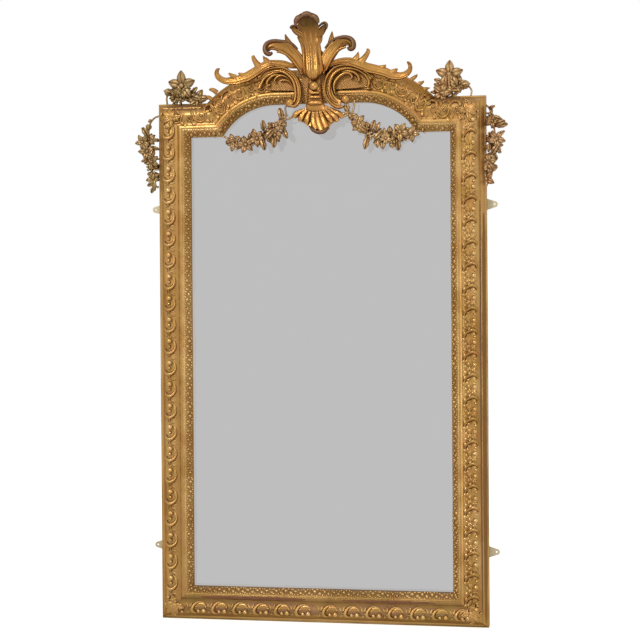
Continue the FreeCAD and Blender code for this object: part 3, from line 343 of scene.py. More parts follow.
# Leaf over a ground cut with crossed lines, behind scrolls and boss: darker as painted shade of the recess,
# broken by the cuts
ground_gilding = gilding("hatched_gold_leaf", ("#8E6438", "#9C7244"), bright="#A67C4A", clay="#724828",
                         grime_and_shade="#5E3C20", dust="#7E6658", wear=0.64, roughness=0.48, hatch=5)
# Bronze powder on cast composition, left drop and spray: olive brown, darker between the casts with grime and
# painted shade
cast_gilding = gilding("bronzed_composition", ("#867048", "#98825A"), bright="#C4AA80", clay="#7A523A",
                       grime_and_shade="#332612", dust="#85736A", wear=0.6, roughness=0.42)
# The same where the bronze has turned coppery, left swag and right drop: a redder brown
warm_cast = gilding("coppery_composition", ("#94724C", "#A88862"), bright="#D4B48C", clay="#7A4C38",
                    grime_and_shade="#362614", dust="#85736A", wear=0.58, roughness=0.42)
# The same where it is rubbed, right swag and spray: a pale, dry gold
pale_cast = gilding("pale_composition", ("#A48256", "#B6966A"), bright="#DCC094", clay="#80543E",
                    grime_and_shade="#3E2C1A", dust="#8F7D72", wear=0.58, roughness=0.42)
# Painted light: leaf made lighter on the outer edges of the left stile and the bottom rail, a light line round
# the frame
edge_gilding = gilding("pale_gold_leaf", ("#D0AC74", "#DEBC88"), bright="#F0D6A8", clay="#94683E",
                       grime_and_shade="#7A5A34", dust="#A08A6A", wear=0.7, roughness=0.42)
# Leaf darkened on the bottom rail: deeper and duller than the stiles
rail_gilding = gilding("darkened_gold_leaf", ("#7A5C2E", "#886A3A"), bright="#B08C54", clay="#7A4A30",
                       grime_and_shade="#7E602E", dust="#80695C", wear=0.64, roughness=0.46)
# Leaf under thick grime, and painted shade, inside the plume's tip: near black-brown, without lights
grimy_shaded_gilding = gilding("grimy_gold_leaf", ("#482C14", "#58381C"), bright="#6E4C28", clay="#5E3A22",
                        grime_and_shade="#3E260F", dust="#5E4A3A", wear=0.64, roughness=0.5)
# Leaf burnished hard, on pearls: small, round, sharp lights
pearl_gilding = gilding("burnished_gold_pearls", ("#C0924E", "#D0A462"), bright="#F2D6A4", clay="#8A5A34",
                        grime_and_shade="#6A4A24", dust="#A08A6A", wear=0.7, roughness=0.24)
# Leaf gone dull on the right stile's outer edge, with painted shade where it turns from the light: an even,
# shaded brown
dull_and_shaded_gilding = gilding("dulled_gold_leaf", ("#7E5C34", "#8C6A40"), bright="#A88454", clay="#7A523A",
                       grime_and_shade="#4A3620", dust="#80705F", wear=0.6, roughness=0.5)

# %% [markdown]
# ## Glass, pine, brass and steel
# The plate is silvered glass, made an even grey by a painted glow. The back is planed pine that has darkened.
# The wall plates and turn buttons are cast brass, the screws mild steel. A picture of each could be laid on,
# but
# none is needed: one recipe of two tones in streaks gives them all, with other spacings, and an even grey glow,
# painted light, goes over the glass.


# %% Plain materials
def plain(name, pair, spacing, stretch, metallic, rough, bump):
    """Two tones in streaks: spacing in millimetres across, stretch along the length."""
    material, tree = new_material(name)
    coords = add(tree, "ShaderNodeTexCoord").outputs["Object"]
    drawn = add(tree, "ShaderNodeMapping", {"Vector": coords, "Scale": (1, 1, 1 / stretch)})
    streak = add(tree, "ShaderNodeTexNoise",
                 {"Vector": drawn.outputs[0], "Scale": 1 / (spacing * MM), "Detail": 5, "Distortion": 0.4})
    tone = add(tree, "ShaderNodeMix",
               {SHARE: streak.outputs[0], UNDER: colour(pair[0]), OVER: colour(pair[1])}, data_type="RGBA")
    gloss = add(tree, "ShaderNodeMapRange", {"Value": streak.outputs[0], "From Min": 0.3, "From Max": 0.7,
                                             "To Min": rough - 0.06, "To Max": rough + 0.08})
    relief = add(tree, "ShaderNodeBump", {"Height": streak.outputs[0], "Strength": bump, "Distance": 0.5 * MM})
    shader = add(tree, "ShaderNodeBsdfPrincipled", {"Base Color": tone.outputs[2], "Metallic": metallic,
                                                    "Roughness": gloss.outputs[0], "Normal": relief.outputs[0]})
    add(tree, "ShaderNodeOutputMaterial", {"Surface": shader.outputs[0]})
    print("material", name)
    return material


# Planed pine, unvarnished and darkened: matt brown with streaks along the grain
aged_pine = plain("planed_pine", ("#8A6238", "#B48A58"), spacing=6, stretch=14, metallic=0, rough=0.6, bump=0.3)
# Cast brass, gone pale under old lacquer: a soft yellow-grey shine
cast_brass = plain("cast_brass", ("#AA9C7A", "#C8BC9A"),
                   spacing=4, stretch=1, metallic=0.7, rough=0.42, bump=0.15)
# Red bole where the gold has gone: dark, earthy red-brown with a slight polish
bare_bole = plain("rubbed_red_bole", ("#582A1A", "#8A5C32"),
                  spacing=12, stretch=1, metallic=0.3, rough=0.5, bump=0.1)
# Mild steel, turned: a plain grey metal
mild_steel = plain("mild_steel", ("#6E6A66", "#8C8884"), spacing=3, stretch=1, metallic=1, rough=0.4, bump=0.15)
# Silvered glass: a smooth, slightly soft mirror
silvered_glass = plain("silvered_glass", ("#BCBCBC", "#C0C0C0"),
                       spacing=90, stretch=1, metallic=1, rough=0.06, bump=0.0)

# %% Painted glow on the glass, and finishes for the CAD nodes
# Painted glow: an even grey emission makes most of the glass's light, so that it shows flat grey and mirrors
# little
glass_glow_tree = silvered_glass.node_tree
mirror_shader = next(node for node in glass_glow_tree.nodes if node.type == "BSDF_PRINCIPLED")
mirror_out = next(node for node in glass_glow_tree.nodes if node.type == "OUTPUT_MATERIAL")
painted_glow = add(glass_glow_tree, "ShaderNodeEmission", {"Color": colour("#BEBEBE"), "Strength": 1})
glowing_glass = add(glass_glow_tree, "ShaderNodeMixShader", {0: 0.85, 1: mirror_shader.outputs[0], 2: painted_glow.outputs[0]})
glass_glow_tree.links.new(glowing_glass.outputs[0], mirror_out.inputs[0])

FINISHES = {
    "pine": aged_pine, "mirror_glass": silvered_glass, "plate_brass": cast_brass, "button_brass": cast_brass,
    "screw_steel": mild_steel, "gilt_moulding": wood_gilding, "gilt_ornament": wood_gilding,
    "gilt_garland": cast_gilding,
}
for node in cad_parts.values():
    for slot in node.material_slots:
        base = slot.material.name.split(".")[0] if slot.material else ""
        slot.material = FINISHES.get(base, wood_gilding)
print("finished", len(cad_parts), "CAD nodes")

# %% [markdown]
# ## Carving tools
# A carver thinks of a leaf as a stem line with a width, a round face and a back. Sculpting would give that
# too, but not from numbers that can be corrected one by one. So the same idea makes almost every ornament
# here: stations along a line give the place, the half width and the swell, a smooth curve joins them, and a
# skin is lofted over the cross-sections. Places are in millimetres: across from the middle, out from the
# wall, and up from the bottom edge.

# %% Lines and skins
FINE_STEPS = 30  # between two stations


def spot(points):
    return np.asarray(points, float) * (MM, -MM, MM) + (0, 0, BOTTOM)


def unit(vectors):
    return vectors / np.linalg.norm(vectors, axis=-1, keepdims=True)


def smooth(stations, count):
    """A curve through the stations, sampled evenly along its length. Further columns follow along."""
    rows = np.asarray(stations, float)
    reach = np.concatenate(([0], np.cumsum(np.linalg.norm(np.diff(rows[:, :3], axis=0), axis=1))))
    slope = np.gradient(rows, reach, axis=0)
    t = np.linspace(0, reach[-1], FINE_STEPS * len(rows))
    i = np.clip(np.searchsorted(reach, t, side="right") - 1, 0, len(rows) - 2)
    step = (reach[i + 1] - reach[i])[:, None]
    u = (t - reach[i])[:, None] / step
    fine = ((2 * u ** 3 - 3 * u ** 2 + 1) * rows[i] + (u ** 3 - 2 * u ** 2 + u) * step * slope[i]
            + (3 * u ** 2 - 2 * u ** 3) * rows[i + 1] + (u ** 3 - u ** 2) * step * slope[i + 1])
    walked = np.concatenate(([0], np.cumsum(np.linalg.norm(np.diff(fine[:, :3], axis=0), axis=1))))
    even = np.linspace(0, walked[-1], count)
    return np.stack([np.interp(even, walked, column) for column in fine.T], axis=1)


def loft(rings):
    """A skin over rings of points, closed at both ends."""
    count, size = rings.shape[:2]
    faces = [(i * size + j, i * size + (j + 1) % size, (i + 1) * size + (j + 1) % size, (i + 1) * size + j)
             for i in range(count - 1) for j in range(size)]
    faces += [tuple(range(size)), tuple(range((count - 1) * size, count * size))]
    return rings.reshape(-1, 3), faces


print("a bend in five steps:", smooth([(0, 0, 0), (10, 0, 0), (20, 0, 10)], 5).round(1).tolist())

# %% A carved leaf
OUT = np.array((0.0, 1.0, 0.0))
ROUND = ((-1, 0), (-0.9, 0.36), (-0.7, 0.68), (-0.35, 0.93), (0, 1), (0.35, 0.93), (0.7, 0.68), (0.9, 0.36),
         (1, 0))
# Lobes lag towards the rim, their dents are pointed, crimping grows to the rim, and a midrib is narrow
LOBE_LAG, DENT_POINT, CRIMP_GROWTH, MIDRIB = 0.35, 2.5, 1.5, 0.14


def leaf(stations, length=28, cross=13, side=None, profile=ROUND, ribs=0, lobes=0, notch=0.35, crimp=0.0,
         groove=0.0, edge=0.8):
    """Stations are across, out, up, half width, front swell, back swell and, where it is fluted, flute depth.

    The profile shapes the swell from edge to edge. Ribs flute the face, lobes notch and crimp the edges, a
    groove is the midrib, and edge is half the thickness at the rim.
    """
    line = smooth(stations, length)
    centre = line[:, :3]
    half, front, back = line[:, 3:4], line[:, 4:5], line[:, 5:6]
    flute = line[:, 6:7] if line.shape[1] > 6 else 0
    along = unit(np.gradient(centre, axis=0))
    if side is None:
        face = unit(OUT - along * (along @ OUT)[:, None])
        sides = np.cross(along, face)
    else:
        sides = np.tile(np.asarray(side, float), (length, 1))
        face = np.cross(sides, along)
        face *= 1 if face[0] @ OUT > 0 else -1
    t = np.linspace(-1, 1, cross)[None, :]
    s = np.linspace(0, 1, length)[:, None]
    swell = np.interp(t, *zip(*profile))
    phase = (s * lobes - LOBE_LAG * np.abs(t)) % 1 if lobes else 0.5
    dent = np.abs(2 * phase - 1) ** DENT_POINT
    spread = half * t * (1 - notch * dent * np.abs(t)) if lobes else half * t
    wave = crimp * (0.5 - dent) * np.abs(t) ** CRIMP_GROWTH
    ripple = wave - groove * np.exp(-(t / MIDRIB) ** 2)
    ripple = ripple + flute * (np.cos(ribs * math.pi / 2 * t) ** 2 - 1)
    top = front * swell + ripple + edge
    under = -back * swell + wave - edge
    grids = [centre[:, None] + sides[:, None] * spread[..., None] + face[:, None] * lift[..., None]
             for lift in (top, under)]
    return loft(np.concatenate((grids[0], grids[1][:, ::-1]), axis=1))


print("a plain leaf has", len(leaf([(0, 0, 0, 5, 2, 2), (0, 0, 20, 8, 2, 2), (0, 0, 40, 1, 1, 1)])[1]), "faces")

# %% A turned knob
ASKEW = (0.31, 0.17, 0.93)  # along no axis that is used below
POLE = 0.08  # radians from each pole of a ball, where a flat face closes it


def turned(middle, radii, axis=OUT, sides=20):
    """A turned knob: (along the axis, radius) pairs around a middle."""
    axis = unit(np.asarray(axis, float))
    first = unit(np.cross(axis, ASKEW))
    second = np.cross(axis, first)
    angles = np.linspace(0, 2 * math.pi, sides, endpoint=False)[:, None]
    circle = first * np.cos(angles) + second * np.sin(angles)
    return loft(np.array([np.asarray(middle, float) + axis * step + circle * radius for step, radius in radii]))


def ball_radii(radius, steps=9):
    turns = np.linspace(POLE, math.pi - POLE, steps)
    return [(-radius * math.cos(turn), radius * math.sin(turn)) for turn in turns]


print("a ball of 5 mm:", len(turned((0, 0, 0), ball_radii(5))[1]), "faces")


# %% Meshes on the frame
def build_mesh(name, parts, place=spot, sharp=42):
    points, faces, start = [], [], 0
    for part_points, part_faces in parts:
        points.append(place(part_points))
        faces += [tuple(corner + start for corner in face) for face in part_faces]
        start += len(part_points)
    mesh = bpy.data.meshes.new(name)
    mesh.from_pydata(np.concatenate(points).tolist(), [], faces)
    work = bmesh.new()
    work.from_mesh(mesh)
    bmesh.ops.remove_doubles(work, verts=work.verts, dist=1e-6)
    bmesh.ops.recalc_face_normals(work, faces=work.faces)
    work.to_mesh(mesh)
    work.free()
    mesh.shade_smooth()
    mesh.set_sharp_from_angle(angle=math.radians(sharp))
    return mesh


def dress(mesh, material, slot, *nodes):
    """Put a finished mesh on the frame, in place of the CAD nodes it stands for."""
    if not mesh.materials:
        mesh.materials.append(material)
    thing = bpy.data.objects.new(mesh.name, mesh)
    scene.collection.objects.link(thing)
    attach(thing, "frame")
    if nodes:
        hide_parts(*nodes)
    print(mesh.name, len(mesh.polygons), "faces")
    return thing


def carve(name, parts, finish, *nodes):
    return dress(build_mesh(name, parts), finish, "gilt_ornament", *nodes)


print("to dress:", len(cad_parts), "CAD nodes")


# %% [markdown]
# ## The frame's line and its moulding
# The mouldings are planed lengths, mitred at the corners. A curve with a bevel profile could sweep them,
# but it gives no clean mitres. Everything on the frame keeps a distance in from the outer edge, so one
# function gives the line of each member, from mitre to mitre, at any such distance, and the moulding is its
# cross-section drawn along those lines: a quirked roll outside, a broad swell that carries the ornament, a
# shallow hollow and a flat ridge. The sight slip slopes from the ridge down to the glass.

# %% Frame line
# The arch's level crown is given from the middle, its rise from the shoulders, and the radius of its ends at
# the sight edge, which lies in from the outer edge by the width of moulding and slip
HALF_WIDTH, HEIGHT = 475, 1500
ARCH_FLAT, ARCH_RISE = 127, 88
SIGHT, SIGHT_RADIUS = 100, 178
MEMBERS = ("left", "left_shoulder", "arch", "right_shoulder", "right", "bottom")


def kink(inset):
    """Where the arch meets the level shoulder, across from the middle."""
    return ARCH_FLAT + math.sqrt(ARCH_RISE * (2 * (SIGHT_RADIUS + SIGHT - inset) - ARCH_RISE))


def head_line(inset, start, stop, count=80):
    """The head from one across to another, left to right, as (across, up) points."""
    across = np.linspace(start, stop, count)
    beyond = np.maximum(np.abs(across) - ARCH_FLAT, 0)
    radius = SIGHT_RADIUS + SIGHT - inset
    arch = HEIGHT - SIGHT + ARCH_RISE - SIGHT_RADIUS + np.sqrt(np.maximum(radius ** 2 - beyond ** 2, 0))
    return np.column_stack((across, np.where(np.abs(across) < kink(inset), arch, HEIGHT - inset)))


def member_line(member, inset):
    """One member from mitre to mitre, going clockwise."""
    x, top, knee = HALF_WIDTH - inset, HEIGHT - inset, kink(inset)
    ends = {"left": ((-x, inset), (-x, top)), "left_shoulder": ((-x, top), (-knee, top)),
            "right_shoulder": ((knee, top), (x, top)), "right": ((x, top), (x, inset)),
            "bottom": ((x, inset), (-x, inset))}
    return head_line(inset, -knee, knee, 121) if member == "arch" else np.array(ends[member], float)


print("arch at its crown", head_line(0, -1, 1)[0])

# %% Moulding and slip
# Pairs of distance in from the outer edge and distance out from the wall
SECTION = ((0, 34.1), (0, 35.4), (0.8, 36.4), (4, 37.4), (5, 38.8), (8, 44.2), (12, 51.2), (14.4, 55),
           (15.4, 55.2), (16.6, 58), (19, 62), (21, 66), (25, 71.6), (28.5, 74.8), (33, 76.8), (38, 77.2),
           (44, 76.2), (50, 74), (54, 72.8), (58, 72), (62, 71.7), (65, 72), (67, 73), (68.5, 74), (71, 74.8),
           (74, 75), (77, 74.8), (78.6, 74), (79, 73), (79, 34.1))
SLIP_SECTION = ((79.1, 34.5), (79.1, 73), (80, 73.2), (82, 72), (86, 67.8), (90, 63), (94, 58), (97, 54),
                (99, 50.6), (100, 48), (100, 45.6), (97, 34.5))
FACE = SECTION[1:-1]
SLIP_FACE = SLIP_SECTION[1:-2]


def swept(section, member):
    lines = [member_line(member, inset) for inset, height in section]
    rings = np.stack([np.column_stack((line[:, 0], np.full(len(line), height), line[:, 1]))
                      for line, (inset, height) in zip(lines, section)], axis=1)
    return loft(rings)


def surface(inset):
    """How far out the face of the moulding is, at a distance in from the outer edge."""
    return np.interp(inset, *zip(*FACE))


for member in MEMBERS:
    broad, narrow = (rail_gilding, rail_gilding) if member == "bottom" else (wood_gilding, bright_gilding)
    dress(build_mesh(member + "_run_moulding", [swept(SECTION, member)], sharp=40), broad, "gilt_moulding",
          member + "_moulding")
    dress(build_mesh(member + "_run_slip", [swept(SLIP_SECTION, member)], sharp=40), narrow, "gilt_moulding",
          member + "_slip")

# %% [markdown]
# ## Worn patches, and painted light and shade
# On the real frame the leaf is gone where hands and water reached it. Other patches are painted light and
# shade: the right stile's outer edge is dull and painted darker where it turns from the light, and the outer
# edges of the left stile and the bottom rail are painted lighter. The bottom rail's hollow is darker and
# duller.
# A mask painted in a texture could show that, but each place would need its own. A thin skin laid on the
# moulding's own curve is simpler: it takes its height from the section and narrows unevenly to its ends.

# %% Patches
SKIN_RISE, SKIN_SINK = 0.35, 0.5


def wear_and_painted_light_strip(name, insets, ends, finish):
    """A patch on a stile or the bottom rail, between two distances in and from one end to the other."""
    stile = {"left": -1, "right": 1}.get(name.split("_")[0], 0)
    rings = []
    for u in np.linspace(0.01, 0.99, 90):
        step = ends[0] + (ends[1] - ends[0]) * u
        # Blunt ends, and a width that wavers
        share = math.sin(math.pi * u) ** 0.35 * (0.86 + 0.14 * math.sin(23 * u) * math.cos(57 * u))
        middle, half = (insets[0] + insets[1]) / 2, (insets[1] - insets[0]) / 2 * share
        inset = np.linspace(middle - half, middle + half, 9)
        skin = [((HALF_WIDTH - w) * stile, h, step) if stile else (step, h, w)
                for w, h in zip(inset, surface(inset))]
        rings.append([(x, h + SKIN_RISE, z) for x, h, z in skin]
                     + [(x, h - SKIN_SINK, z) for x, h, z in skin[::-1]])
    dress(build_mesh(name, [loft(np.array(rings))], sharp=60), finish, "gilt_moulding")


wear_and_painted_light_strip("right_rubbed_quirk", (15, 20), (1215, 30), bare_bole)
wear_and_painted_light_strip("right_dull_edge", (1.5, 14.5), (1180, 4), dull_and_shaded_gilding)
wear_and_painted_light_strip("bottom_dull_hollow", (22, 66), (-362, 20), dark_hollow_gilding)
wear_and_painted_light_strip("bottom_dull_hollow_right", (24, 66), (40, 360), dark_hollow_gilding)
wear_and_painted_light_strip("left_bright_edge", (1.5, 14.5), (4, 1496), edge_gilding)
wear_and_painted_light_strip("bottom_bright_edge", (1.5, 14.5), (-470, 470), edge_gilding)
wear_and_painted_light_strip("bottom_rubbed_ridge", (66, 79), (-350, -40), bare_bole)
wear_and_painted_light_strip("bottom_rubbed_ridge_right", (68, 78), (60, 330), bare_bole)

# %% [markdown]
# ## Running ornament with Geometry Nodes
# Pressed ornament repeats along the real frame's hollow. An Array modifier could repeat it too, but not
# round the arch and the corners. Geometry Nodes follow any path: the tree turns a path into a curve, steps
# along it by a pitch, and sets a motif on each step, turned to the path. The motif's own X runs along the
# path, its Z towards the outer edge. A little unevenness keeps it from looking stamped.


# %% The run tree
def run_tree():
    tree = bpy.data.node_groups.new("ornament_run", "GeometryNodeTree")
    face = tree.interface
    face.new_socket("Path", in_out="INPUT", socket_type="NodeSocketGeometry")
    for label, kind in (("Motif", "NodeSocketObject"), ("Pitch", "NodeSocketFloat"),
                        ("Unevenness", "NodeSocketFloat"), ("Finish", "NodeSocketMaterial")):
        face.new_socket(label, in_out="INPUT", socket_type=kind)
    face.new_socket("Run", in_out="OUTPUT", socket_type="NodeSocketGeometry")
    given = add(tree, "NodeGroupInput").outputs
    curve = add(tree, "GeometryNodeMeshToCurve", {"Mesh": given["Path"]})
    steps = add(tree, "GeometryNodeResampleCurve", {"Curve": curve.outputs[0], "Length": given["Pitch"]},
                mode="LENGTH")
    tangent = add(tree, "GeometryNodeInputTangent")
    turn = add(tree, "FunctionNodeAlignRotationToVector", {"Vector": tangent.outputs[0]}, axis="X",
               pivot_axis="Y")
    motif = add(tree, "GeometryNodeObjectInfo", {"Object": given["Motif"]})
    chance = add(tree, "FunctionNodeRandomValue", {0: (-1, 0, -1), 1: (1, 0, 1), "Seed": 5},
                 data_type="FLOAT_VECTOR")
    change = add(tree, "ShaderNodeVectorMath", {0: chance.outputs[0], "Scale": given["Unevenness"]},
                 operation="SCALE")
    size = add(tree, "ShaderNodeVectorMath", {0: change.outputs[0], 1: (1, 1, 1)}, operation="ADD")
    placed = add(tree, "GeometryNodeInstanceOnPoints",
                 {"Points": steps.outputs[0], "Instance": motif.outputs["Geometry"],
                  "Rotation": turn.outputs[0], "Scale": size.outputs[0]})
    solid = add(tree, "GeometryNodeRealizeInstances", {"Geometry": placed.outputs[0]})
    done = add(tree, "GeometryNodeSetMaterial", {"Geometry": solid.outputs[0], "Material": given["Finish"]})
    add(tree, "NodeGroupOutput", {"Run": done.outputs[0]})
    return tree


ornament_run = run_tree()
run_sockets = {item.name: item.identifier for item in ornament_run.interface.items_tree
               if item.in_out == "INPUT"}
print("run tree with", len(ornament_run.nodes), "nodes")


# %% Setting a run
def baked(carrier, tree, values):
    """The tree's result on a carrier object as a plain mesh; the carrier is removed."""
    modifier = carrier.modifiers.new("nodes", "NODES")
    modifier.node_group = tree
    for identifier, value in values.items():
        modifier[identifier] = value
    carrier.update_tag()
    bpy.context.view_layer.update()
    mesh = bpy.data.meshes.new_from_object(carrier.evaluated_get(bpy.context.evaluated_depsgraph_get()))
    path_mesh = carrier.data
    bpy.data.objects.remove(carrier)
    bpy.data.meshes.remove(path_mesh)
    return mesh


def motif_object(name, parts):
    """Motif parts are (along, out, towards the outer edge) in millimetres."""
    mesh = build_mesh(name, parts, place=lambda points: points * (MM, -MM, MM))
    thing = bpy.data.objects.new(name, mesh)
    scene.collection.objects.link(thing)
    return thing


def run(name, motif, paths, pitch, material, unevenness=0.04):
    points = [spot(np.column_stack((path[:, 0], np.zeros(len(path)), path[:, 1]))) for path in paths]
    edges, start = [], 0
    for path in points:
        edges += [(start + i, start + i + 1) for i in range(len(path) - 1)]
        start += len(path)
    mesh = bpy.data.meshes.new(name)
    mesh.from_pydata(np.concatenate(points).tolist(), edges, [])
    carrier = bpy.data.objects.new(name, mesh)
    scene.collection.objects.link(carrier)
    result = baked(carrier, ornament_run,
                   {run_sockets["Motif"]: motif, run_sockets["Pitch"]: pitch * MM,
                    run_sockets["Finish"]: material, run_sockets["Unevenness"]: unevenness})
    result.name = name
    return result


print("a run needs", list(run_sockets))

# %% [markdown]
# ## Shells on the stiles and the bottom rail
# Each unit is a curled shell, open to the outer edge, with a large pearl and a small one in its mouth and
# leaves behind it. On the right stile small lumps of leaf crowd it. One motif could be modelled for each
# side, but they are the same shell stretched differently, so one function makes all three. Its parts take
# their height from the moulding's curve, and the pearls are a run of their own, because they are burnished
# brighter.

# %% Shell and pearls
# The middle of the shells in from the outer edge, and the step from one shell to the next
SHELL_ACROSS, SHELL_PITCH, PITCH_SLACK = 42, 62.1, 2
# Along, towards the outer edge, radius
LEAF_LUMPS = ((20, -17, 5), (12, -8, 4.4), (4, -13, 5), (-6, -9, 4.4), (-26, -18, 5.4), (-33, -10, 4.6),
              (-31, 3, 4), (24, -6, 4.2), (6, -21, 6.2), (-10, -18, 7), (-20, -4, 7.4), (-19, 10, 7))


def on_face(along, towards, lift, line=SHELL_ACROSS):
    return (along, surface(line - towards) + lift, towards)


def pearl_motif(flip, towards, knob, pearl):
    return [turned(on_face(flip * 14, towards, knob * 0.8), ball_radii(knob, 7), sides=12),
            turned(on_face(flip * -2, towards + 1.5, pearl * 0.6), ball_radii(pearl, 7), sides=12)]


def shell_motif(flip, reach, spread, lumps):
    """Reach and spread stretch the inner and the outer half; lumps are the small leaves beside the shell."""
    curl = [on_face(flip * a, t * (reach if t < 0 else spread), 0.6) + (half, high, 3.0) for a, t, half, high in
            ((12, -14, 1.6, 1.6), (2, -16, 3.0, 3.4), (-9, -13.5, 4.6, 5.6), (-17, -5.5, 5.8, 7.2),
             (-21, 3.5, 6.4, 8.0), (-17, 11.5, 5.4, 6.8), (-9, 14.5, 2.2, 3.0))]
    fan = [on_face(flip * a, t * reach, 0) + (half, 2.0, 2.0)
           for a, t, half in ((21, -2, 2), (13, -6, 6), (3, -7, 7), (-7, -5, 5), (-12, -2, 2))]
    parts = [leaf(curl, length=20, cross=7), leaf(fan, length=10, cross=7, groove=0.8)]
    tail = [on_face(flip * a, t, 0.4) + (half, half * 1.4, 2.0)
            for a, t, half in ((-22, 4, 5.0), (-28, 4, 3.0), (-34, 3, 0.6))]
    parts.append(leaf(tail, length=6, cross=5))
    for (a0, t0), (a1, t1), wide in (((-27, -2), (-23, -15), 4.0), ((-34, -2), (-39, -14), 4.0),
                                     ((-30, 8), (-35, 15), 3.4)):
        blade = [on_face(flip * (a0 + (a1 - a0) * u), t0 + (t1 - t0) * u, 0) + (half, 1.8, 2.0)
                 for u, half in ((0, wide * 0.6), (0.45, wide), (1, 0.8))]
        parts.append(leaf(blade, length=5, cross=5))
    for a, t, radius in lumps:
        parts.append(turned(on_face(flip * a, t, 0), ball_radii(radius, 4), sides=7))
    return parts


print("a shell has", len(shell_motif(1, 1, 1, ())), "parts")

# %% Shell runs
# The shell nearest the middle of each stile gives the height from which the others are counted
STILE_MIDDLE, LEFT_SHELL, RIGHT_SHELL = HALF_WIDTH - SHELL_ACROSS, 735, 758
left_line = np.array([(-STILE_MIDDLE, LEFT_SHELL + SHELL_PITCH * step) for step in (-10, 11)])
right_line = np.array([(STILE_MIDDLE, RIGHT_SHELL + SHELL_PITCH * step) for step in (11, -11)])
rail_lines = [np.array([(across, SHELL_ACROSS) for across in ends]) for ends in ((404, 29), (-49, -354))]
for side, shell_gilding, flip, reach, spread, lumps, pearl_row, paths in (
        ("left", bright_gilding, 1, 0.8, 1.25, (), (2.5, 7.8, 4.4), [left_line]),
        ("right", wood_gilding, 1, 1.3, 1.1, LEAF_LUMPS, (8, 7.2, 4.4), [right_line]),
        ("bottom", bright_gilding, -1, 1, 1, (), (7, 6.6, 5.0), rail_lines)):
    for name, parts, finish, nodes in (
            (side + "_shells", shell_motif(flip, reach, spread, lumps), shell_gilding, (side + "_shell_run",)),
            (side + "_pearls", pearl_motif(flip, *pearl_row), pearl_gilding, ())):
        motif = motif_object(name + "_motif", parts)
        # A little under the pitch, so that rounding never drops the last shell
        dress(run(name, motif, paths, SHELL_PITCH - PITCH_SLACK, finish), finish, "gilt_ornament", *nodes)
        bpy.data.objects.remove(motif)

# %% [markdown]
# ## The bead band on the sight slip
# A narrow slip frames the glass, and its sloping face is crowded with small beads of pressed gesso. A bump
# texture would show them only from afar, and not in the mesh. So a cluster of eight beads is one more
# motif, run round the whole slip. It comes hundreds of times, so each bead has only a few dozen faces.

# %% Slip band
# The gap keeps the bands of two members apart at their mitre
SLIP_ACROSS, SLIP_PITCH, SLIP_GAP = 90, 27.0, 8
# Along, towards the outer edge, radius
SLIP_BEADS = ((-9, 2, 6.2), (4.5, -2, 6.2), (-2, -6, 4.0), (-2.5, 6, 3.8), (11, 4.5, 4.2), (11, -6, 4.0),
              (4.5, 6.5, 3.0), (-10, -6, 3.4))


def on_slip(along, towards, lift):
    return (along, np.interp(SLIP_ACROSS - towards, *zip(*SLIP_FACE)) + lift, towards)


slip_unit = motif_object("slip_unit", [turned(on_slip(a, t, -radius * 0.45), ball_radii(radius, 6), sides=9)
                                       for a, t, radius in SLIP_BEADS])
inner, low, high = HALF_WIDTH - SLIP_ACROSS, SLIP_ACROSS + SLIP_GAP, HEIGHT - SLIP_ACROSS - SLIP_GAP
slip_paths = [np.array([(-inner, low), (-inner, high)]),
              head_line(SLIP_ACROSS, -inner + SLIP_GAP, inner - SLIP_GAP, 300),
              np.array([(inner, high), (inner, low)]),
              np.array([(inner - SLIP_GAP, SLIP_ACROSS), (-inner + SLIP_GAP, SLIP_ACROSS)])]
dress(run("slip_bead_band", slip_unit, slip_paths, SLIP_PITCH, bright_gilding, 0.18), bright_gilding,
      "gilt_ornament")
bpy.data.objects.remove(slip_unit)

# %% [markdown]
# ## The crest: plumes
# The middle of the crest is a stiff plume: five round reeds rise from a bulb, the top opens into a dark
# hollow, and a dusty, torn rim rolls over it. Two smaller plumes bend outward and end in a roll. A sculpted
# mesh could follow them more freely, but stations let each bend be moved by a millimetre, so each is carved
# leaves of the lofting tool, with lobes and rims set on the edges. A pine block behind them carries the
# crest.

# %% Centre plume
BODY = [(-6, 96, 1555, 10, 10, 6, 0.4), (-6, 100, 1559.5, 20, 17, 8, 1.2), (-6, 103, 1568, 27, 21, 9, 2.2),
        (-6, 104, 1581, 29.5, 21, 9, 3.2), (-7, 105, 1597, 29, 17, 9, 3.6), (-8, 106, 1610, 28, 14, 9, 3.6),
        (-9, 107, 1622, 28, 12, 8, 3.4), (-10, 110, 1637, 28.5, 9, 8, 2.8), (-12, 113, 1649, 29, 6, 8, 2.2),
        (-12, 117, 1661, 30.5, 3, 8, 1.6), (-13, 122, 1673, 31, 0, 8, 1.2), (-14, 128, 1684, 31, -2, 8, 0.8),
        (-14, 136, 1695, 30, -3, 8, 0.5), (-13, 146, 1706, 28, -3, 7, 0.4)]
HOOD = [(-14, 138, 1692, 18, -1, 6, 0), (-13, 142, 1697, 25, -3, 8, 1), (-13, 148, 1704, 29, -5, 9, 1.5),
        (-13, 155, 1710, 30, -6, 10, 2), (-12, 163, 1715, 28, -5, 10, 2), (-12, 170, 1717, 24, -2, 8, 1.5),
        (-12, 174, 1716, 19, 2, 5, 1)]
HOOD_RIM = [[(-44, 168, 1693, 4, 4, 5), (-42, 169, 1703, 7, 6, 6), (-34, 169, 1712, 8, 7, 6),
             (-25, 168, 1714, 4, 5, 5)],
            [(-28, 169, 1712, 4, 5, 5), (-21, 170, 1719, 7, 6, 6), (-11, 170, 1721, 8, 7, 6),
             (-1, 170, 1718, 6, 6, 6), (3, 169, 1712, 3, 5, 5)],
            [(-2, 169, 1714, 4, 5, 5), (9, 169, 1713, 8, 7, 6), (17, 169, 1704, 7, 6, 6),
             (20, 168, 1695, 4, 4, 5)]]
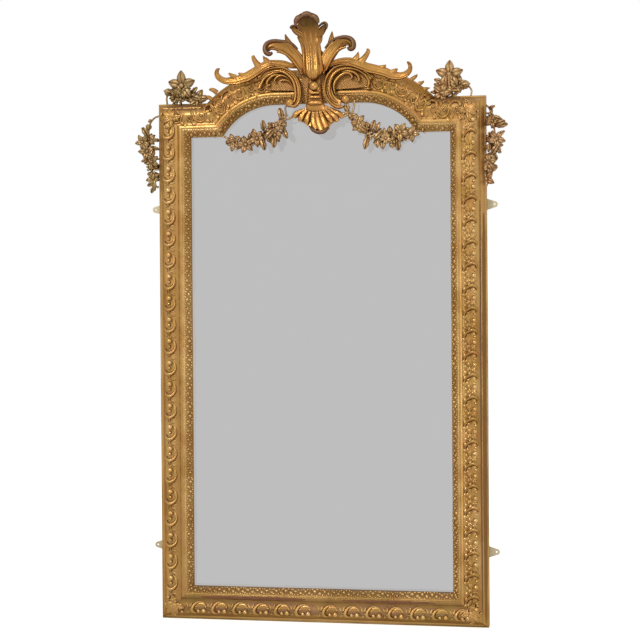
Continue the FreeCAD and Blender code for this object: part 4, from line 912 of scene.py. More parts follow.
LOBES = [[(-28, 116, 1667, 6, 4, 5), (-38, 120, 1676, 10, 5, 5), (-50, 126, 1684, 9.5, 5, 5),
          (-59, 132, 1691, 6, 4, 4), (-65, 136, 1692, 2, 2, 3)],
         [(6, 116, 1666, 6, 4, 5), (18, 120, 1676, 10, 5, 5), (27, 126, 1686, 9.5, 5, 5),
          (34, 132, 1693, 6, 4, 4), (38, 136, 1697, 2, 2, 3)],
         [(-32, 112, 1645, 5, 3, 4), (-40, 115, 1660, 6, 3, 4), (-47, 119, 1668, 2, 2, 2)],
         [(10, 112, 1645, 5, 3, 4), (17, 115, 1658, 6, 3, 4), (23, 119, 1668, 2, 2, 2)]]
LOBE_RIMS = [[(-35, 124, 1685, 2.5, 3, 3), (-44, 130, 1695, 3.2, 4, 4), (-54, 135, 1696, 3.5, 4, 4),
              (-62, 139, 1693, 3.2, 4, 4), (-64, 140, 1689, 2, 3, 3)],
             [(15, 126, 1693, 2.5, 3, 3), (23, 132, 1699, 3.2, 4, 4), (34, 137, 1701, 4, 4, 4),
              (40, 140, 1696, 3.5, 4, 4), (39, 138, 1687, 2.5, 3, 3), (32, 132, 1679, 1.6, 2, 2)]]
parts = [leaf(BODY, length=72, cross=57, side=(1, 0, 0), ribs=4)]
parts += [leaf(lobe, length=18, groove=1.2) for lobe in LOBES]
carve("plume", parts, crest_gilding, "centre_plume")
carve("plume_hood", [leaf(HOOD, length=40, cross=33, side=(1, 0, 0), ribs=3)], grimy_shaded_gilding)
carve("plume_rims", [leaf(rim, length=18, cross=9) for rim in HOOD_RIM + LOBE_RIMS], dusty_gilding)

# %% Side plumes
# Each has a hollow blade, a roll along its lower edge, a spike on its back, and a dusty roll that curls over
HOLLOW = ((-1, 0.2), (-0.8, 0.8), (-0.5, 0.4), (0, 0.1), (0.5, 0.4), (0.8, 0.8), (1, 0.2))
SIDE_PLUMES = {
    "left": ([(-30, 98, 1570, 12, 8, 8), (-40, 100, 1590, 16, 9, 8), (-53, 102, 1610, 18, 9, 8),
              (-70, 104, 1629, 18, 9, 8), (-88, 107, 1641, 16, 9, 8), (-105, 111, 1646, 15, 9, 8),
              (-120, 115, 1646, 12, 8, 8), (-130, 118, 1640, 9, 7, 7), (-132, 120, 1632, 5, 5, 5)],
             [(-40, 104, 1574, 3, 5, 6), (-51, 107, 1588, 4, 6, 7), (-64, 109, 1606, 4.4, 7, 7),
              (-78, 111, 1619, 4.4, 7, 7), (-94, 113, 1627, 4, 6, 6), (-108, 115, 1629, 2.8, 5, 5)],
             [(-38, 95, 1592, 2.5, 4, 6), (-50, 98, 1612, 6, 5, 6), (-62, 102, 1632, 9, 5, 6),
              (-72, 107, 1650, 9, 5, 5), (-79, 112, 1664, 6, 4, 4), (-83, 116, 1677, 1.3, 2, 2)],
             [(-50, 106, 1636, 3, 4, 5), (-64, 107, 1650, 3.8, 5, 6), (-80, 109, 1656, 4.7, 6, 7),
              (-97, 112, 1658, 5.4, 7, 7), (-112, 116, 1659, 5.7, 8, 8), (-126, 120, 1656, 6.3, 9, 8),
              (-136, 124, 1648, 7, 10, 9), (-139, 126, 1635, 7.3, 10, 9), (-134, 127, 1624, 7.3, 10, 9),
              (-125, 127, 1621, 6.3, 8, 8), (-118, 126, 1625, 3.2, 4, 4)]),
    "right": ([(15, 98, 1570, 12, 8, 8), (24, 100, 1591, 16, 9, 8), (36, 102, 1610, 18, 9, 8),
               (49, 104, 1628, 17.5, 9, 8), (64, 107, 1642, 15, 9, 8), (79, 111, 1650, 14, 9, 8),
               (94, 115, 1650, 11.4, 8, 8), (102, 118, 1643, 8.2, 7, 7), (103, 120, 1635, 4.4, 5, 5)],
              [(31, 104, 1574, 3, 5, 6), (40, 107, 1592, 4, 6, 7), (51, 109, 1610, 4.4, 7, 7),
               (63, 111, 1624, 4.4, 7, 7), (76, 113, 1632, 4, 6, 6), (89, 115, 1635, 2.8, 5, 5)],
              [(24, 95, 1590, 2.5, 4, 6), (33, 98, 1610, 6, 5, 6), (41, 102, 1632, 9, 5, 6),
               (46, 107, 1650, 9, 5, 5), (49, 112, 1666, 6, 4, 4), (51, 116, 1680, 1.3, 2, 2)],
              [(29, 106, 1635, 2.8, 4, 5), (42, 108, 1650, 3.8, 5, 6), (57, 110, 1659, 4.7, 6, 7),
               (71, 113, 1662, 5.4, 7, 7), (86, 116, 1663, 5.7, 8, 8), (100, 120, 1659, 6.3, 9, 8),
               (110, 124, 1650, 7, 10, 9), (113, 126, 1639, 7.3, 10, 9), (110, 127, 1629, 7, 10, 9),
               (102, 127, 1627, 5.7, 8, 8), (96, 126, 1632, 2.8, 4, 4)])}
for side, (blade, roll, spike, curl) in SIDE_PLUMES.items():
    parts = [leaf(blade, length=46, cross=25, profile=HOLLOW), leaf(roll, length=30, cross=11),
             leaf(spike, length=14, groove=1.2)]
    carve(side + "_side_plume", parts, crest_gilding, side + "_plume")
    carve(side + "_plume_curl", [leaf(curl, length=44, cross=13)], dusty_gilding)

# %% Crest block
block_outline = ((-50, 1584), (50, 1584), (44, 1602), (24, 1622), (10, 1640), (-16, 1640), (-30, 1622),
                 (-46, 1602))
block = loft(np.array([[(x, out, z) for x, z in block_outline] for out in (24, 78, 84)]))
dress(build_mesh("crest_backing", [block]), aged_pine, "pine", "crest_block")

# %% [markdown]
# ## The crest: scrolls and long leaves
# On each side a broad C-scroll with a raised fillet on both edges turns round a polished eye, and finger
# leaves curl inside it on a hatched ground. From its back a long acanthus leaf runs down the arch, with
# hooks on its upper edge and a tip that turns up. One side could be mirrored, but left and right were
# carved by hand and differ a little, so each has its own stations.

# %% Scroll stations
SCROLLS = {
    "left": ((-74, 98, 1486), [
        [(-160, 95, 1561, 2, 4, 6), (-152, 97, 1573, 2.5, 5, 8), (-139, 99, 1581, 3, 6, 8),
         (-122, 100, 1585, 3.2, 7, 9), (-105, 100, 1586, 3.2, 7, 9), (-87, 100, 1583, 3.5, 8, 9),
         (-70, 100, 1573, 3.8, 8, 9), (-56, 100, 1558, 3.8, 8, 9), (-46, 100, 1538, 4, 9, 9),
         (-43, 100, 1516, 4, 9, 9), (-45, 100, 1496, 4.4, 9, 9), (-53, 100, 1480, 4.7, 9, 9),
         (-64, 100, 1475, 4.7, 9, 9), (-73, 100, 1479, 3.8, 8, 8)],
        [(-151, 92, 1558, 2, 4, 6), (-142, 94, 1569, 2.8, 5, 8), (-127, 95, 1576, 3.5, 6, 8),
         (-108, 96, 1577, 4, 7, 8), (-89, 97, 1572, 4.7, 8, 8), (-74, 97, 1561, 5, 8, 8),
         (-63, 97, 1545, 5.4, 8, 8), (-58, 97, 1524, 5.4, 8, 8), (-57, 97, 1504, 5, 8, 8),
         (-61, 97, 1490, 4.4, 8, 8), (-68, 97, 1482, 3.2, 6, 8)],
        [(-97, 90, 1574, 2.6, 5, 8), (-119, 92, 1573, 4.2, 7, 8), (-137, 92, 1566, 4.9, 7, 8),
         (-152, 91, 1554, 4.9, 7, 8), (-159, 90, 1540, 5.2, 8, 8), (-164, 90, 1530, 5.7, 9, 8)],
        [(-102, 89, 1567, 2.6, 5, 8), (-120, 91, 1566, 4.2, 7, 8), (-134, 91, 1557, 4.5, 7, 8),
         (-141, 90, 1546, 4.5, 7, 8), (-139, 90, 1538, 4.2, 6, 8), (-131, 90, 1540, 2.6, 5, 8)],
        [(-72, 88, 1546, 2.1, 5, 8), (-85, 90, 1560, 3.2, 6, 8), (-101, 90, 1565, 3.6, 6, 8),
         (-114, 90, 1559, 3.6, 6, 8), (-119, 89, 1550, 3.2, 6, 8), (-114, 89, 1545, 2.1, 4, 8)],
        [(-65, 88, 1527, 2.1, 5, 8), (-75, 89, 1546, 2.9, 6, 8), (-90, 89, 1552, 3.2, 6, 8),
         (-103, 89, 1550, 2.6, 5, 8)]]),
    "right": ((85, 98, 1492), [
        [(165, 93, 1548, 2, 4, 6), (148, 95, 1562, 2.5, 5, 8), (129, 98, 1575, 3, 6, 8),
         (105, 100, 1584, 3.2, 7, 9), (83, 100, 1587, 3.2, 7, 9), (61, 100, 1583, 3.5, 8, 9),
         (44, 100, 1571, 3.8, 8, 9), (32, 100, 1553, 3.8, 8, 9), (27, 100, 1531, 4, 9, 9),
         (28, 100, 1509, 4, 9, 9), (37, 100, 1490, 4.4, 9, 9), (51, 100, 1475, 4.7, 9, 9),
         (67, 100, 1468, 4.7, 9, 9), (79, 100, 1472, 3.8, 8, 8)],
        [(148, 92, 1548, 2, 4, 8), (139, 93, 1560, 3.2, 5, 8), (125, 95, 1570, 3.5, 6, 8),
         (105, 96, 1577, 3.8, 7, 8), (84, 97, 1578, 4.4, 7, 8), (65, 97, 1573, 4.7, 8, 8),
         (51, 97, 1562, 5, 8, 8), (42, 97, 1546, 5.4, 8, 8), (39, 97, 1527, 5.4, 8, 8), (41, 97, 1508, 5, 8, 8),
         (50, 97, 1492, 4.4, 8, 8), (61, 97, 1483, 3.2, 6, 8)],
        [(54, 89, 1510, 2.6, 5, 8), (51, 91, 1528, 4.2, 7, 8), (56, 91, 1545, 4.9, 7, 8),
         (69, 92, 1558, 4.9, 7, 8), (85, 92, 1566, 4.9, 7, 8), (97, 91, 1564, 4.9, 7, 8),
         (103, 91, 1554, 4.2, 6, 8), (99, 90, 1549, 2.9, 5, 8)],
        [(75, 91, 1570, 2.6, 5, 8), (94, 93, 1571, 4.2, 7, 8), (112, 93, 1565, 4.9, 7, 8),
         (122, 92, 1553, 4.5, 7, 8), (122, 91, 1543, 3.6, 6, 8), (116, 90, 1543, 2.6, 4, 8)],
        [(113, 91, 1574, 2.6, 5, 8), (132, 92, 1566, 3.6, 6, 8), (145, 92, 1553, 4.2, 6, 8),
         (151, 91, 1537, 4.2, 6, 8), (146, 90, 1526, 3.2, 5, 8), (139, 90, 1527, 2.1, 4, 8)]])}
EYEBALL = [(-8, 10), (-4, 12.6), (0, 13.4), (4, 12.6), (8, 9.8), (11, 5.4), (12.4, 1)]
print("rolls and fingers:", {side: len(rolls) for side, (eye, rolls) in SCROLLS.items()})


# %% Scrolls
def web(outer, inner, count=40):
    """The sunk band between two rolls."""
    a, b = smooth(outer, count), smooth(inner, count)
    rows = (a + b) / 2
    rows[:, 1] -= 2
    rows[:, 3] = np.linalg.norm((a - b)[:, :3], axis=1) / 2 + 1
    rows[:, 4], rows[:, 5] = 1, 9
    return leaf(rows, length=count, cross=7)


GROUND = [(46, 79, 1548, 26, 1, 9), (66, 80, 1551, 28, 1, 9), (90, 80, 1552, 28, 1, 9),
          (115, 80, 1551, 26, 1, 9), (136, 79, 1548, 20, 1, 9), (154, 78, 1542, 10, 1, 9)]
LEFT_GROUND_SHIFT = 8
for side, (eye, rolls) in SCROLLS.items():
    sign = -1 if side == "left" else 1
    ground = [(sign * (row[0] + LEFT_GROUND_SHIFT * (sign < 0)),) + row[1:] for row in GROUND]
    parts = [web(rolls[0], rolls[1]), turned(eye, EYEBALL)]
    parts += [leaf(roll, length=40, cross=13) for roll in rolls]
    carve(side + "_c_scroll", parts, crest_gilding, side + "_scroll")
    carve(side + "_scroll_ground", [leaf(ground, length=24, cross=9, side=(0, 0, 1))], ground_gilding)

# %% Long leaves
LONG_LEAVES = {
    "left": ([(-54, 94, 1588, 5, 5, 8), (-71, 97, 1591, 8, 6.2, 9), (-92, 99, 1596, 10, 7.4, 10),
              (-114, 100, 1598, 10, 8.1, 10), (-133, 100, 1597, 12, 8.7, 10), (-153, 100, 1588, 13, 8.7, 10),
              (-172, 98, 1577, 14.5, 8.1, 10), (-196, 96, 1564, 14, 7.4, 10), (-220, 95, 1557, 13, 6.8, 9),
              (-245, 95, 1554, 11, 6.2, 9), (-261, 96, 1554, 9.3, 5.6, 8), (-275, 99, 1560, 9, 5, 7),
              (-283, 103, 1569, 8, 4.3, 6), (-284, 106, 1578, 6, 6, 5), (-280, 108, 1585, 4.4, 5, 4),
              (-275, 110, 1587, 2, 3, 3)],
             [[(-138, 100, 1603, 9, 5, 6), (-143, 102, 1610, 7, 4, 5), (-147, 105, 1616, 3.2, 3, 4),
               (-148, 108, 1619, 1.3, 2, 2)],
              [(-162, 100, 1591, 10.7, 5, 6), (-171, 102, 1603, 8, 5, 5), (-176, 105, 1613, 6.3, 5, 5),
               (-177, 108, 1618, 5, 4, 4), (-174, 110, 1620, 2.5, 3, 3)],
              [(-230, 96, 1564, 7, 4, 5), (-239, 98, 1567, 6.3, 4, 4), (-245, 101, 1571, 4.4, 3, 4),
               (-250, 104, 1574, 2, 2, 2)],
              [(-206, 96, 1566, 8, 4, 5), (-216, 98, 1571, 5, 4, 4), (-222, 101, 1574, 2, 2, 2)]]),
    "right": ([(12, 94, 1584, 5, 5, 8), (30, 97, 1587, 7, 6.2, 9), (50, 99, 1593, 8, 7.4, 10),
               (71, 100, 1598, 9, 8.1, 10), (93, 100, 1598, 11, 8.7, 10), (115, 100, 1591, 12.6, 8.7, 10),
               (133, 99, 1584, 13, 8.7, 10), (152, 97, 1577, 14, 8.1, 10), (175, 96, 1571, 13.5, 7.4, 10),
               (198, 96, 1564, 13.5, 7.4, 10), (214, 95, 1557, 12.7, 6.8, 9), (231, 95, 1553, 11, 6.2, 9),
               (247, 96, 1554, 9.4, 5.6, 8), (260, 99, 1560, 8.5, 5, 7), (268, 103, 1569, 6.6, 4.3, 6),
               (269, 106, 1578, 5.6, 6, 5), (265, 108, 1586, 4.5, 5, 4), (261, 110, 1589, 2, 3, 3)],
              [[(113, 100, 1601, 9, 5, 6), (119, 102, 1609, 7, 4, 5), (122, 105, 1617, 3.5, 3, 4),
                (123, 108, 1621, 1.3, 2, 2)],
               [(129, 100, 1594, 10.7, 5, 6), (140, 102, 1606, 8, 5, 5), (148, 105, 1616, 6.6, 5, 5),
                (152, 108, 1624, 5.4, 4, 4), (148, 110, 1629, 2.8, 3, 3)],
               [(214, 96, 1563, 7, 4, 5), (224, 98, 1567, 6, 4, 4), (230, 101, 1570, 3.8, 3, 4),
                (232, 104, 1571, 1.4, 2, 2)],
               [(184, 96, 1576, 8, 4, 5), (194, 98, 1580, 5, 4, 4), (200, 101, 1583, 2, 2, 2)]])}
LEAF_FACE = ((-1, 0.1), (-0.78, 0.55), (-0.5, 0.45), (-0.22, 0.75), (0.02, 0.6), (0.28, 0.8), (0.5, 0.6),
             (0.7, 0.9), (0.88, 0.95), (1, 0.2))
for side, (spine, hooks) in LONG_LEAVES.items():
    face_across = LEAF_FACE if side == "left" else tuple((-t, rise) for t, rise in LEAF_FACE[::-1])
    parts = [leaf(spine, length=66, cross=25, profile=face_across, lobes=5, notch=0.05, crimp=0.8)]
    parts += [leaf(hook, length=18, cross=9, groove=0.8) for hook in hooks]
    carve(side + "_long_leaf", parts, crest_gilding, side + "_acanthus")

# %% [markdown]
# ## The crest: boss and shell
# Between the scrolls a tongue carries a polished ball and three rounded bars, and a scallop shell hangs
# below it. A fan of bumps on a disc would be a flat shell, so each rib is a leaf of its own that rises
# along its length on a thin sheet, and the wide middle lobe rolls forward into a dusty lip.

# %% Boss
tongue_stem = leaf([(-5, 82, 1576, 10, 3, 8), (-5, 85, 1562, 14, 3, 8), (-4, 88, 1547, 17, 4, 8),
                    (-4, 90, 1530, 19, 5, 8), (-4, 92, 1512, 20, 6, 8), (-3, 92, 1495, 22, 7, 8),
                    (-2, 91, 1474, 28, 6, 8), (0, 87, 1456, 31, 4, 7)], length=24, cross=21, side=(1, 0, 0))
# A sunk ground behind the boss, its darker gilding painted shade of the recess
recess = leaf([(-8, 80, 1476, 20, 1, 8), (-8, 82, 1500, 32, 1, 8), (-8, 83, 1530, 36, 1, 8),
               (-8, 83, 1556, 35, 1, 8), (-7, 81, 1580, 26, 1, 8)], length=16, cross=13, side=(1, 0, 0))
carve("boss_ground", [recess], ground_gilding)
bars = [leaf([(x - half, 98, z, high * 0.6, 3, 5), (x - half * 0.8, 101, z, high, 5, 6),
              (x, 103, z, high * 1.1, 6, 6), (x + half * 0.8, 101, z, high, 5, 6),
              (x + half, 98, z, high * 0.6, 3, 5)], length=22, cross=13)
        for x, z, half, high in ((-3, 1511, 15, 4), (-2, 1499, 18, 4.4), (-1, 1483, 21, 6))]
ball = turned((-4, 96, 1531),
              [(-6, 16), (-2, 16.5), (2, 15), (3, 13), (7, 14), (11, 12.6), (15, 8.6), (17.5, 3)])
carve("boss", [tongue_stem, ball] + bars, crest_gilding, "crest_boss")

# %% Shell
RIBS = [[(-32, 96, 1466, 4.3, 3, 6), (-47, 95, 1460, 5.9, 5, 6), (-59, 95, 1452, 7.6, 6, 6),
         (-63, 94, 1442, 5.3, 4, 5)],
        [(-27, 97, 1464, 4.3, 3, 6), (-37, 96, 1453, 6.6, 5, 6), (-43, 96, 1442, 8.4, 6, 6),
         (-45, 95, 1432, 5.6, 4, 5)],
        [(-17, 98, 1460, 4.3, 3, 6), (-23, 97, 1447, 6.6, 5, 6), (-26, 97, 1435, 8.4, 6, 6),
         (-27, 96, 1425, 5.6, 4, 5)],
        [(-6, 99, 1458, 4.9, 3, 6), (-8, 98, 1442, 7, 5, 6), (-5, 99, 1423, 9.3, 6, 6),
         (1, 102, 1408, 8, 4, 5)],
        [(3, 99, 1458, 4.9, 3, 6), (5, 98, 1439, 7.6, 5, 6), (11, 99, 1418, 10.2, 6, 6),
         (18, 103, 1401, 8.9, 4, 5)],
        [(13, 99, 1459, 4.9, 3, 6), (18, 98, 1443, 7, 5, 6), (26, 99, 1423, 9.3, 6, 6),
         (33, 102, 1407, 8, 4, 5)],
        [(23, 98, 1461, 4.3, 3, 6), (31, 97, 1449, 6.6, 5, 6), (40, 97, 1437, 8.4, 6, 6),
         (45, 96, 1428, 5.6, 4, 5)],
        [(30, 97, 1465, 4.3, 3, 6), (44, 96, 1452, 6.6, 5, 6), (56, 96, 1441, 8.4, 6, 6),
         (62, 95, 1430, 5.6, 4, 5)],
        [(35, 96, 1469, 4.3, 3, 6), (53, 95, 1459, 6.2, 5, 6), (68, 95, 1450, 8, 6, 6),
         (77, 94, 1440, 5.6, 4, 5)]]
LIP = [(-16, 102, 1417, 3.2, 5, 5), (-6, 108, 1406, 5, 7, 6), (12, 111, 1399, 5.7, 8, 6),
       (27, 110, 1402, 5.4, 7, 6), (35, 104, 1413, 3.2, 5, 5)]
sheet = [leaf([(2, 90, 1478, 26, 2, 5), (4, 90, 1464, 44, 2, 5), (6, 90, 1450, 62, 2, 5),
               (7, 90, 1438, 56, 2, 5), (9, 92, 1422, 34, 2, 5), (9, 96, 1408, 22, 2, 5),
               (11, 100, 1400, 12, 2, 4)], length=30, cross=21, side=(1, 0, 0))]
carve("scallop_shell", sheet + [leaf(rib, length=18, cross=11, groove=0.9) for rib in RIBS], crest_gilding,
      "crest_shell")
carve("shell_lip", [leaf(LIP, length=24, cross=11)], dusty_gilding)

# %% [markdown]
# ## Scrolling leaves in the head, and the corner leaves
# In the arch and the shoulders the hollow is filled with a scrolling stem, its leaves and pearls. Each curl
# could be placed by hand, but it repeats, so it is another run. A cast leaf hides each corner, the same on
# all four, so one function sets it on each mitre. Small torn leaves stand on the arch's edge beside the
# crest.

# %% Rinceau
VINE_ACROSS, VINE_PITCH = 41, 64


def in_vine(along, towards, lift):
    return on_face(along, towards * 1.6, lift, VINE_ACROSS)


def vine_half(sign, shift):
    stem = [in_vine(shift + a, sign * w, 0.2) + (half, half * 0.8, 2)
            for a, w, half in ((-34, -8, 2.4), (-26, 6, 3.6), (-12, 13, 4.2), (2, 8, 4.0), (3, -3, 3.4),
                               (-7, -7, 3.0), (-13, 0, 2.0))]
    parts = [leaf(stem, length=26, cross=7),
             turned(in_vine(shift - 7, sign * 1.5, 2), ball_radii(4.6, 6), sides=10)]
    for (a0, w0), (a1, w1), wide in (((-25, 7), (-32, 19), 6), ((0, 10), (12, 18), 6), ((4, -2), (16, -6), 6),
                                     ((-2, -6), (2, -18), 6), ((-18, -4), (-23, -17), 6)):
        blade = [in_vine(shift + a0 + (a1 - a0) * u, sign * (w0 + (w1 - w0) * u), 0) + (half, 2.2, 2)
                 for u, half in ((0, wide * 0.4), (0.5, wide), (1, 1.4))]
        parts.append(leaf(blade, length=6, cross=7, groove=0.6))
    parts.append(turned(in_vine(shift + 17, sign * 14, 1.6), ball_radii(3.6, 5), sides=8))
    return parts


vine = motif_object("vine", vine_half(1, -14) + vine_half(-1, 18))
for side, ends in (("left", (-418, -172)), ("right", (172, 418))):
    dress(run(side + "_vine", vine, [head_line(VINE_ACROSS, *ends)], VINE_PITCH, wood_gilding, 0.12),
          wood_gilding, "gilt_ornament", side + "_rinceau")
bpy.data.objects.remove(vine)

# %% Corner leaves
HEART = (48, 48)  # in from both outer edges
CAST_BAND = (24, 62)  # the insets between which a cast follows the moulding


def corner_leaf(sign, top):
    """A palmette on one mitre: ribs spread to the outer corner, and two leaves lie along the members."""
    def at(inset_x, inset_z, lift):
        height = surface(np.clip(min(inset_x, inset_z), *CAST_BAND))
        return (sign * (HALF_WIDTH - inset_x), height + lift, HEIGHT - inset_z if top else inset_z)

    def blade(start, degrees, reach, wide, lift):
        turn = math.radians(degrees)
        return [at(start[0] + reach * u * math.cos(turn), start[1] + reach * u * math.sin(turn),
                   lift * (1 - 0.5 * u) + 2 * u) + (half, 3.6, 5)
                for u, half in ((0, wide * 0.55), (0.35, wide), (0.7, wide * 0.9), (1, wide * 0.2))]

    parts = [leaf(blade(HEART, 225 + aside, reach, 7.2, 6), length=12, cross=9, groove=1.0)
             for aside, reach in ((-66, 26), (-33, 31), (0, 34), (33, 31), (66, 26))]
    parts += [leaf(blade(HEART, degrees, 30, 10, 4), length=14, cross=11, groove=1.6, lobes=3, notch=0.3,
                   crimp=1) for degrees in (-14, 104)]
    parts += [turned(at(*HEART, 3), ball_radii(9, 7), sides=14)]
    parts += [turned(at(*place, 3), ball_radii(5.5, 6), sides=10)
              for place in ((30, 70), (70, 30), (42, 64), (64, 42), (22, 48), (48, 22))]
    return parts


carve("corner_leaf_casts",
      [part for sign in (-1, 1) for top in (False, True) for part in corner_leaf(sign, top)],
      bright_gilding, "corner_leaves")

# %% Torn leaves
TORN = {
    "left": [[(-289, 82, 1523, 7.3, 4, 6), (-299, 84, 1530, 6.3, 4, 5), (-308, 86, 1532, 4, 3, 4),
              (-311, 88, 1531, 1.5, 2, 2)],
             [(-305, 76, 1505, 6, 4, 6), (-317, 78, 1512, 5, 4, 5), (-325, 80, 1514, 1.5, 2, 2)]],
    "right": [[(269, 84, 1543, 5.6, 4, 6), (279, 86, 1549, 5.2, 4, 5), (285, 88, 1554, 2.8, 3, 4),
               (286, 90, 1556, 1, 2, 2)],
              [(290, 82, 1531, 6.1, 4, 6), (300, 84, 1534, 4.2, 4, 5), (305, 86, 1538, 1.4, 2, 2)],
              [(306, 80, 1515, 6.1, 4, 6), (313, 82, 1517, 4.2, 4, 5), (321, 84, 1518, 1.4, 2, 2)]]}
for side, rows in TORN.items():
    carve(side + "_edge_leaves", [leaf(row, length=12, cross=9, groove=0.8) for row in rows], wood_gilding)

# %% [markdown]
# ## Flower garlands with Geometry Nodes
# Swags hang in front of the glass, drops hang beside the stiles, and sprays stand on the shoulders. All are
# flowers, leaves, buds and berries cast in composition on a stiff wire. Copies could be placed one by one,
# but the real casts came from few moulds too, so four shapes are enough: points say where each one goes,
# which shape it is, how big and which way it turns, and a tree sets them all.


# %% Cast shapes
def flower_parts():
    parts = []
    for turn in np.linspace(0, 2 * math.pi, 5, endpoint=False):
        out = np.array((math.sin(turn), 0, math.cos(turn)))
        rows = [tuple(out * r + (0, h, 0)) + (half, 4.5, 3.6) for r, h, half in
                ((2, 0, 4), (8, 3, 8), (15, 5, 8.6), (21, 4, 6.4), (25, 1, 2))]
        parts.append(leaf(rows, length=10, cross=7, groove=2.0))
    parts.append(turned((0, 5, 0), ball_radii(6, 6), sides=10))
    return parts


def leaf_parts():
    return [leaf([(0, 0, -3, 3, 3, 3), (0, 2, 5, 7.5, 4, 3.5), (0, 4, 13, 8.5, 4.5, 3.5), (0, 4, 22, 7, 3.5, 3),
                  (0, 1, 29, 2.6, 1.5, 1)], length=14, cross=9, groove=2.6, lobes=3, notch=0.22, crimp=1.6)]


def bud_parts():
    parts = [turned((0, 2, 8), [(-8, 3), (-5, 6.2), (0, 8), (5, 7), (9, 4), (13, 0.6)], axis=(0, 0.25, 1),
                    sides=10)]
    for turn in np.linspace(0, 2 * math.pi, 3, endpoint=False):
        aside = np.array((math.sin(turn), math.cos(turn), 0))
        rows = [tuple(aside * r + (0, 2, z)) + (half, 2.4, 1.2)
                for r, z, half in ((3, -2, 1.5), (7.5, 4, 3.6), (8.4, 10, 3), (6, 16, 0.5))]
        parts.append(leaf(rows, length=8, cross=5))
    return parts


def berry_parts():
    return [turned(place, ball_radii(radius, 6), sides=9) for place, radius in
            (((0, 2, 0), 5.5), ((7, 1, 4), 4.4), ((-6, 2, 5), 4.2), ((3, 3, -7), 4.2), ((-6, 0, -5), 3.8))]


KINDS = {"Flower": flower_parts(), "Leaf": leaf_parts(), "Bud": bud_parts(), "Berry": berry_parts()}
casts = {kind: motif_object("cast_" + kind.lower(), parts) for kind, parts in KINDS.items()}
print("cast shapes:", {kind: len(cast.data.polygons) for kind, cast in casts.items()})


# %% The posy tree
def posy_tree():
    tree = bpy.data.node_groups.new("posy", "GeometryNodeTree")
    tree.interface.new_socket("Places", in_out="INPUT", socket_type="NodeSocketGeometry")
    for kind in KINDS:
        tree.interface.new_socket(kind, in_out="INPUT", socket_type="NodeSocketObject")
    tree.interface.new_socket("Finish", in_out="INPUT", socket_type="NodeSocketMaterial")
    tree.interface.new_socket("Posy", in_out="OUTPUT", socket_type="NodeSocketGeometry")
    given = add(tree, "NodeGroupInput").outputs
    which = add(tree, "GeometryNodeInputNamedAttribute", {"Name": "kind"}, data_type="INT")
    size = add(tree, "GeometryNodeInputNamedAttribute", {"Name": "size"}, data_type="FLOAT")
    turn = add(tree, "GeometryNodeInputNamedAttribute", {"Name": "turn"}, data_type="FLOAT_VECTOR")
    rotation = add(tree, "FunctionNodeEulerToRotation", {"Euler": turn.outputs["Attribute"]})
    joined = add(tree, "GeometryNodeJoinGeometry")
    for number, kind in enumerate(KINDS):
        # The inputs for whole numbers are the third and the fourth
        chosen = add(tree, "FunctionNodeCompare", {2: which.outputs["Attribute"], 3: number}, data_type="INT",
                     operation="EQUAL")
        cast = add(tree, "GeometryNodeObjectInfo", {"Object": given[kind]})
        set_casts = add(tree, "GeometryNodeInstanceOnPoints",
                        {"Points": given["Places"], "Selection": chosen.outputs[0],
                         "Instance": cast.outputs["Geometry"], "Rotation": rotation.outputs[0],
                         "Scale": size.outputs["Attribute"]})
        tree.links.new(set_casts.outputs[0], joined.inputs[0])
    solid = add(tree, "GeometryNodeRealizeInstances", {"Geometry": joined.outputs[0]})
    done = add(tree, "GeometryNodeSetMaterial", {"Geometry": solid.outputs[0], "Material": given["Finish"]})
    add(tree, "NodeGroupOutput", {"Posy": done.outputs[0]})
    return tree


posy = posy_tree()
posy_sockets = {item.name: item.identifier for item in posy.interface.items_tree if item.in_out == "INPUT"}
print("posy tree with", len(posy.nodes), "nodes")


# %% Garlands on wire
def wire(stations, radius=2.6):
    line = [tuple(row) + (radius, radius, radius) for row in stations]
    return leaf(line, length=10 * len(stations), cross=5)


def garland(name, wires, casts_at, finish, *nodes):
    """Casts are (kind, across, out, up, size, spin) with a spin in degrees: 0 points up, 90 to the right."""
    rng = np.random.default_rng(len(name) * 7 + 3)  # a fixed seed
    kinds = list(KINDS)
    mesh = bpy.data.meshes.new(name)
    mesh.from_pydata(spot([row[1:4] for row in casts_at]).tolist(), [], [])
    shapes = [kinds.index(row[0]) for row in casts_at]
    mesh.attributes.new("kind", "INT", "POINT").data.foreach_set("value", shapes)
    mesh.attributes.new("size", "FLOAT", "POINT").data.foreach_set("value", [row[4] for row in casts_at])
    turns = [(rng.uniform(-0.45, 0.25), math.radians(row[5]), rng.uniform(-0.4, 0.4)) for row in casts_at]
    mesh.attributes.new("turn", "FLOAT_VECTOR", "POINT").data.foreach_set("vector", np.ravel(turns))
    carrier = bpy.data.objects.new(name, mesh)
    scene.collection.objects.link(carrier)
    values = {posy_sockets[kind]: cast for kind, cast in casts.items()}
    cast_mesh = baked(carrier, posy, values | {posy_sockets["Finish"]: finish})
    work = bmesh.new()
    work.from_mesh(cast_mesh)
    work.from_mesh(build_mesh(name + "_wire", [wire(stations) for stations in wires]))
    whole = bpy.data.meshes.new(name)
    work.to_mesh(whole)
    work.free()
    whole.shade_smooth()
    whole.set_sharp_from_angle(angle=math.radians(50))
    return dress(whole, finish, "gilt_garland", *nodes)


def strung(line, count, seed, size=0.9, kinds=("Berry", "Leaf", "Bud", "Berry", "Flower", "Berry", "Leaf")):
    """Small casts threaded close along a line of (across, out, up, thickness) stations."""
    rng = np.random.default_rng(seed)
    rows = smooth(line, count)
    aside = rows[:, 3:] * rng.uniform(-0.5, 0.5, (count, 3)) * (1, 0.6, 1)
    return [(kinds[i % len(kinds)], *(rows[i, :3] + aside[i]), size * rng.uniform(0.8, 1.2),
             rng.uniform(0, 360)) for i in range(count)]


